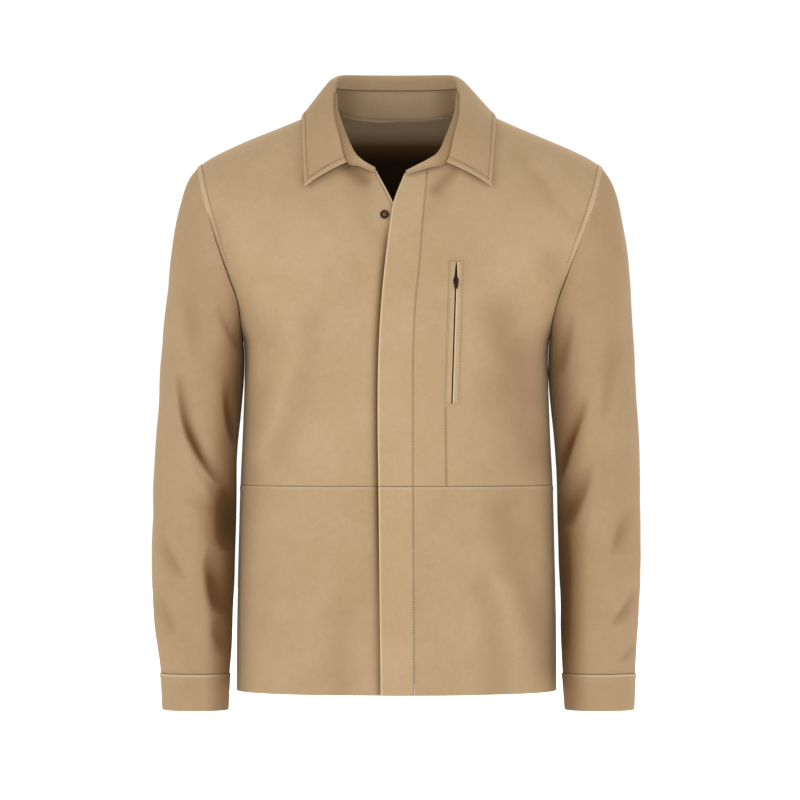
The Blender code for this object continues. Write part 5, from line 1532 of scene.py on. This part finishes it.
def makeTape():   # woven polyester tape, dark brown: matt, with ribs 0.6 mm apart across it
    scale = perMetre(tapeLook["ribSize"] * 2 * math.pi)
    return twoTones("woven_zip_tape", tapeLook, "ShaderNodeTexWave",
                    {"Scale": scale, "Distortion": 0.5}, bands_direction="Z")[0]


def makeBrass():
    # Die-cast brass under an oxidised brown-black finish: dark and satin, with a paler brown on
    # the middle of the snap's cap.
    look = brassLook
    material, tree, shader, cloud, tone = twoTones(
        "oxidised_brass", look, "ShaderNodeTexNoise",
        {"Scale": perMetre(look["cloudSize"]), "Detail": 3.0})
    wear = addNode(tree, "ShaderNodeAttribute", attribute_name="wear").outputs["Fac"]
    tone = addNode(tree, "ShaderNodeMix", {"B": linearHex(look["worn"])},
                   {"Factor": wear, "A": tone}, data_type="RGBA").outputs["Result"]
    rough = addNode(tree, "ShaderNodeMapRange",
                    {"To Min": look["smoothest"], "To Max": look["roughness"]},
                    {"Value": cloud}).outputs["Result"]
    tree.links.new(tone, shader.inputs["Base Color"])
    tree.links.new(rough, shader.inputs["Roughness"])
    shader.inputs["Metallic"].default_value = look["metallic"]
    return material


# Studio

studio = {
    "floorZ": -900.0, "floorHalf": 9000.0, "paper": "#e8e8e8", "paperRoughness": 0.9,
    "paperGlow": 0.5, "ambient": 0.66, "whiteGlow": 1.05, "lampAim": (0.0, 0.0, -250.0),
    "distance": 6000.0, "aimX": 4.2, "aimZ": -338.0, "clip": 60000.0,
    "lens": 225.0, "sensor": 36.0}

softboxes = {                    # place and size in mm, power in watts
    "left": ((-3000.0, -2300.0, 1900.0), 1200.0, 25.5),
    "right": ((3100.0, -2300.0, 1700.0), 1200.0, 15.5),
    "front": ((-200.0, -4200.0, 500.0), 1500.0, 14.0),
    "behind": ((400.0, 3200.0, 2200.0), 2000.0, 85.0)}


def whiteToCamera(tree, socket, dim):
    # Full white where the camera looks, a dimmer light for everything else
    seen = addNode(tree, "ShaderNodeLightPath").outputs["Is Camera Ray"]
    strength = addNode(tree, "ShaderNodeMapRange", {"To Min": dim, "To Max": studio["whiteGlow"]},
                       {"Value": seen})
    tree.links.new(strength.outputs["Result"], socket)


def makeStudio():
    # A level floor of white paper in white air, and four softboxes round the jacket
    white = linearHex("#ffffff")
    material, tree, shader = newMaterial("white_paper", {
        "Base Color": linearHex(studio["paper"]), "Roughness": studio["paperRoughness"],
        "Emission Color": white})
    whiteToCamera(tree, shader.inputs["Emission Strength"], studio["paperGlow"])
    corners = np.array(((-1.0, -1.0, 0.0), (1.0, -1.0, 0.0), (1.0, 1.0, 0.0), (-1.0, 1.0, 0.0)))
    points = corners * studio["floorHalf"] + (0.0, 0.0, studio["floorZ"])
    putMesh("paper_floor", points, np.array(((0, 1, 2, 3),)), material)
    world = bpy.data.worlds.new("studio_air")
    world.use_nodes = True
    air = world.node_tree.nodes["Background"]
    air.inputs["Color"].default_value = white
    whiteToCamera(world.node_tree, air.inputs["Strength"], studio["ambient"])
    bpy.context.scene.world = world
    for name, (place, size, power) in softboxes.items():
        lamp = bpy.data.lights.new(name, "AREA")
        lamp.size = size * mm
        lamp.energy = power
        item = bpy.data.objects.new(name, lamp)
        item.location = np.array(place) * mm
        item.rotation_euler = aimAt(np.array(studio["lampAim"]) - np.array(place))
        item.visible_camera = False
        bpy.context.scene.collection.objects.link(item)


def aimAt(way):   # turns that point an object's -Z along a way, upright
    x, y, z = way
    return math.atan2(math.hypot(x, y), -z), 0.0, math.atan2(-x, y)


def makeCamera():   # level, straight in front of the jacket
    camera = bpy.data.objects.new("camera", bpy.data.cameras.new("camera"))
    camera.data.lens = studio["lens"]
    camera.data.sensor_width = studio["sensor"]
    camera.data.clip_end = studio["clip"] * mm
    camera.location = np.array((studio["aimX"], -studio["distance"], studio["aimZ"])) * mm
    camera.rotation_euler = aimAt((0.0, 1.0, 0.0))
    bpy.context.scene.collection.objects.link(camera)
    bpy.context.scene.camera = camera
    bpy.context.scene.view_settings.view_transform = "Standard"


# The whole jacket

makeCamera()
makeStudio()
suede, thread, brass, tape = makeSuede(), makeThread(), makeBrass(), makeTape()
cloths = {}
for side in sideSigns:
    cloths[f"front_{side}_upper"] = makeUpperFront(side, suede)
    cloths[f"front_{side}_lower"] = makeLowerFront(side, suede)
    cloths[f"sleeve_{side}"] = makeSleeve(side, suede)
    cloths[f"cuff_{side}"] = makeCuff(side, suede)
    print("made the", side, "front, sleeve and cuff")
for part in ("upper", "lower"):
    cloths[f"placket_{part}"] = makePlacket(part, suede)
cloths["back"] = makeBack(suede)
cloths.update(makeCollar(suede))
print("made the placket, back and collar")
welts = makeWelts(suede)
zipParts = makeZip(tape, brass)
metalParts = makeZipMetal(brass)
makeStud(brass)
print("made the pocket and the metal parts")
stitches = [makeStitches("suede_topstitching", suedeRuns(cloths), thread),
            makeStitches("pocket_topstitching", pocketRuns(), thread)]
print("made the stitching")
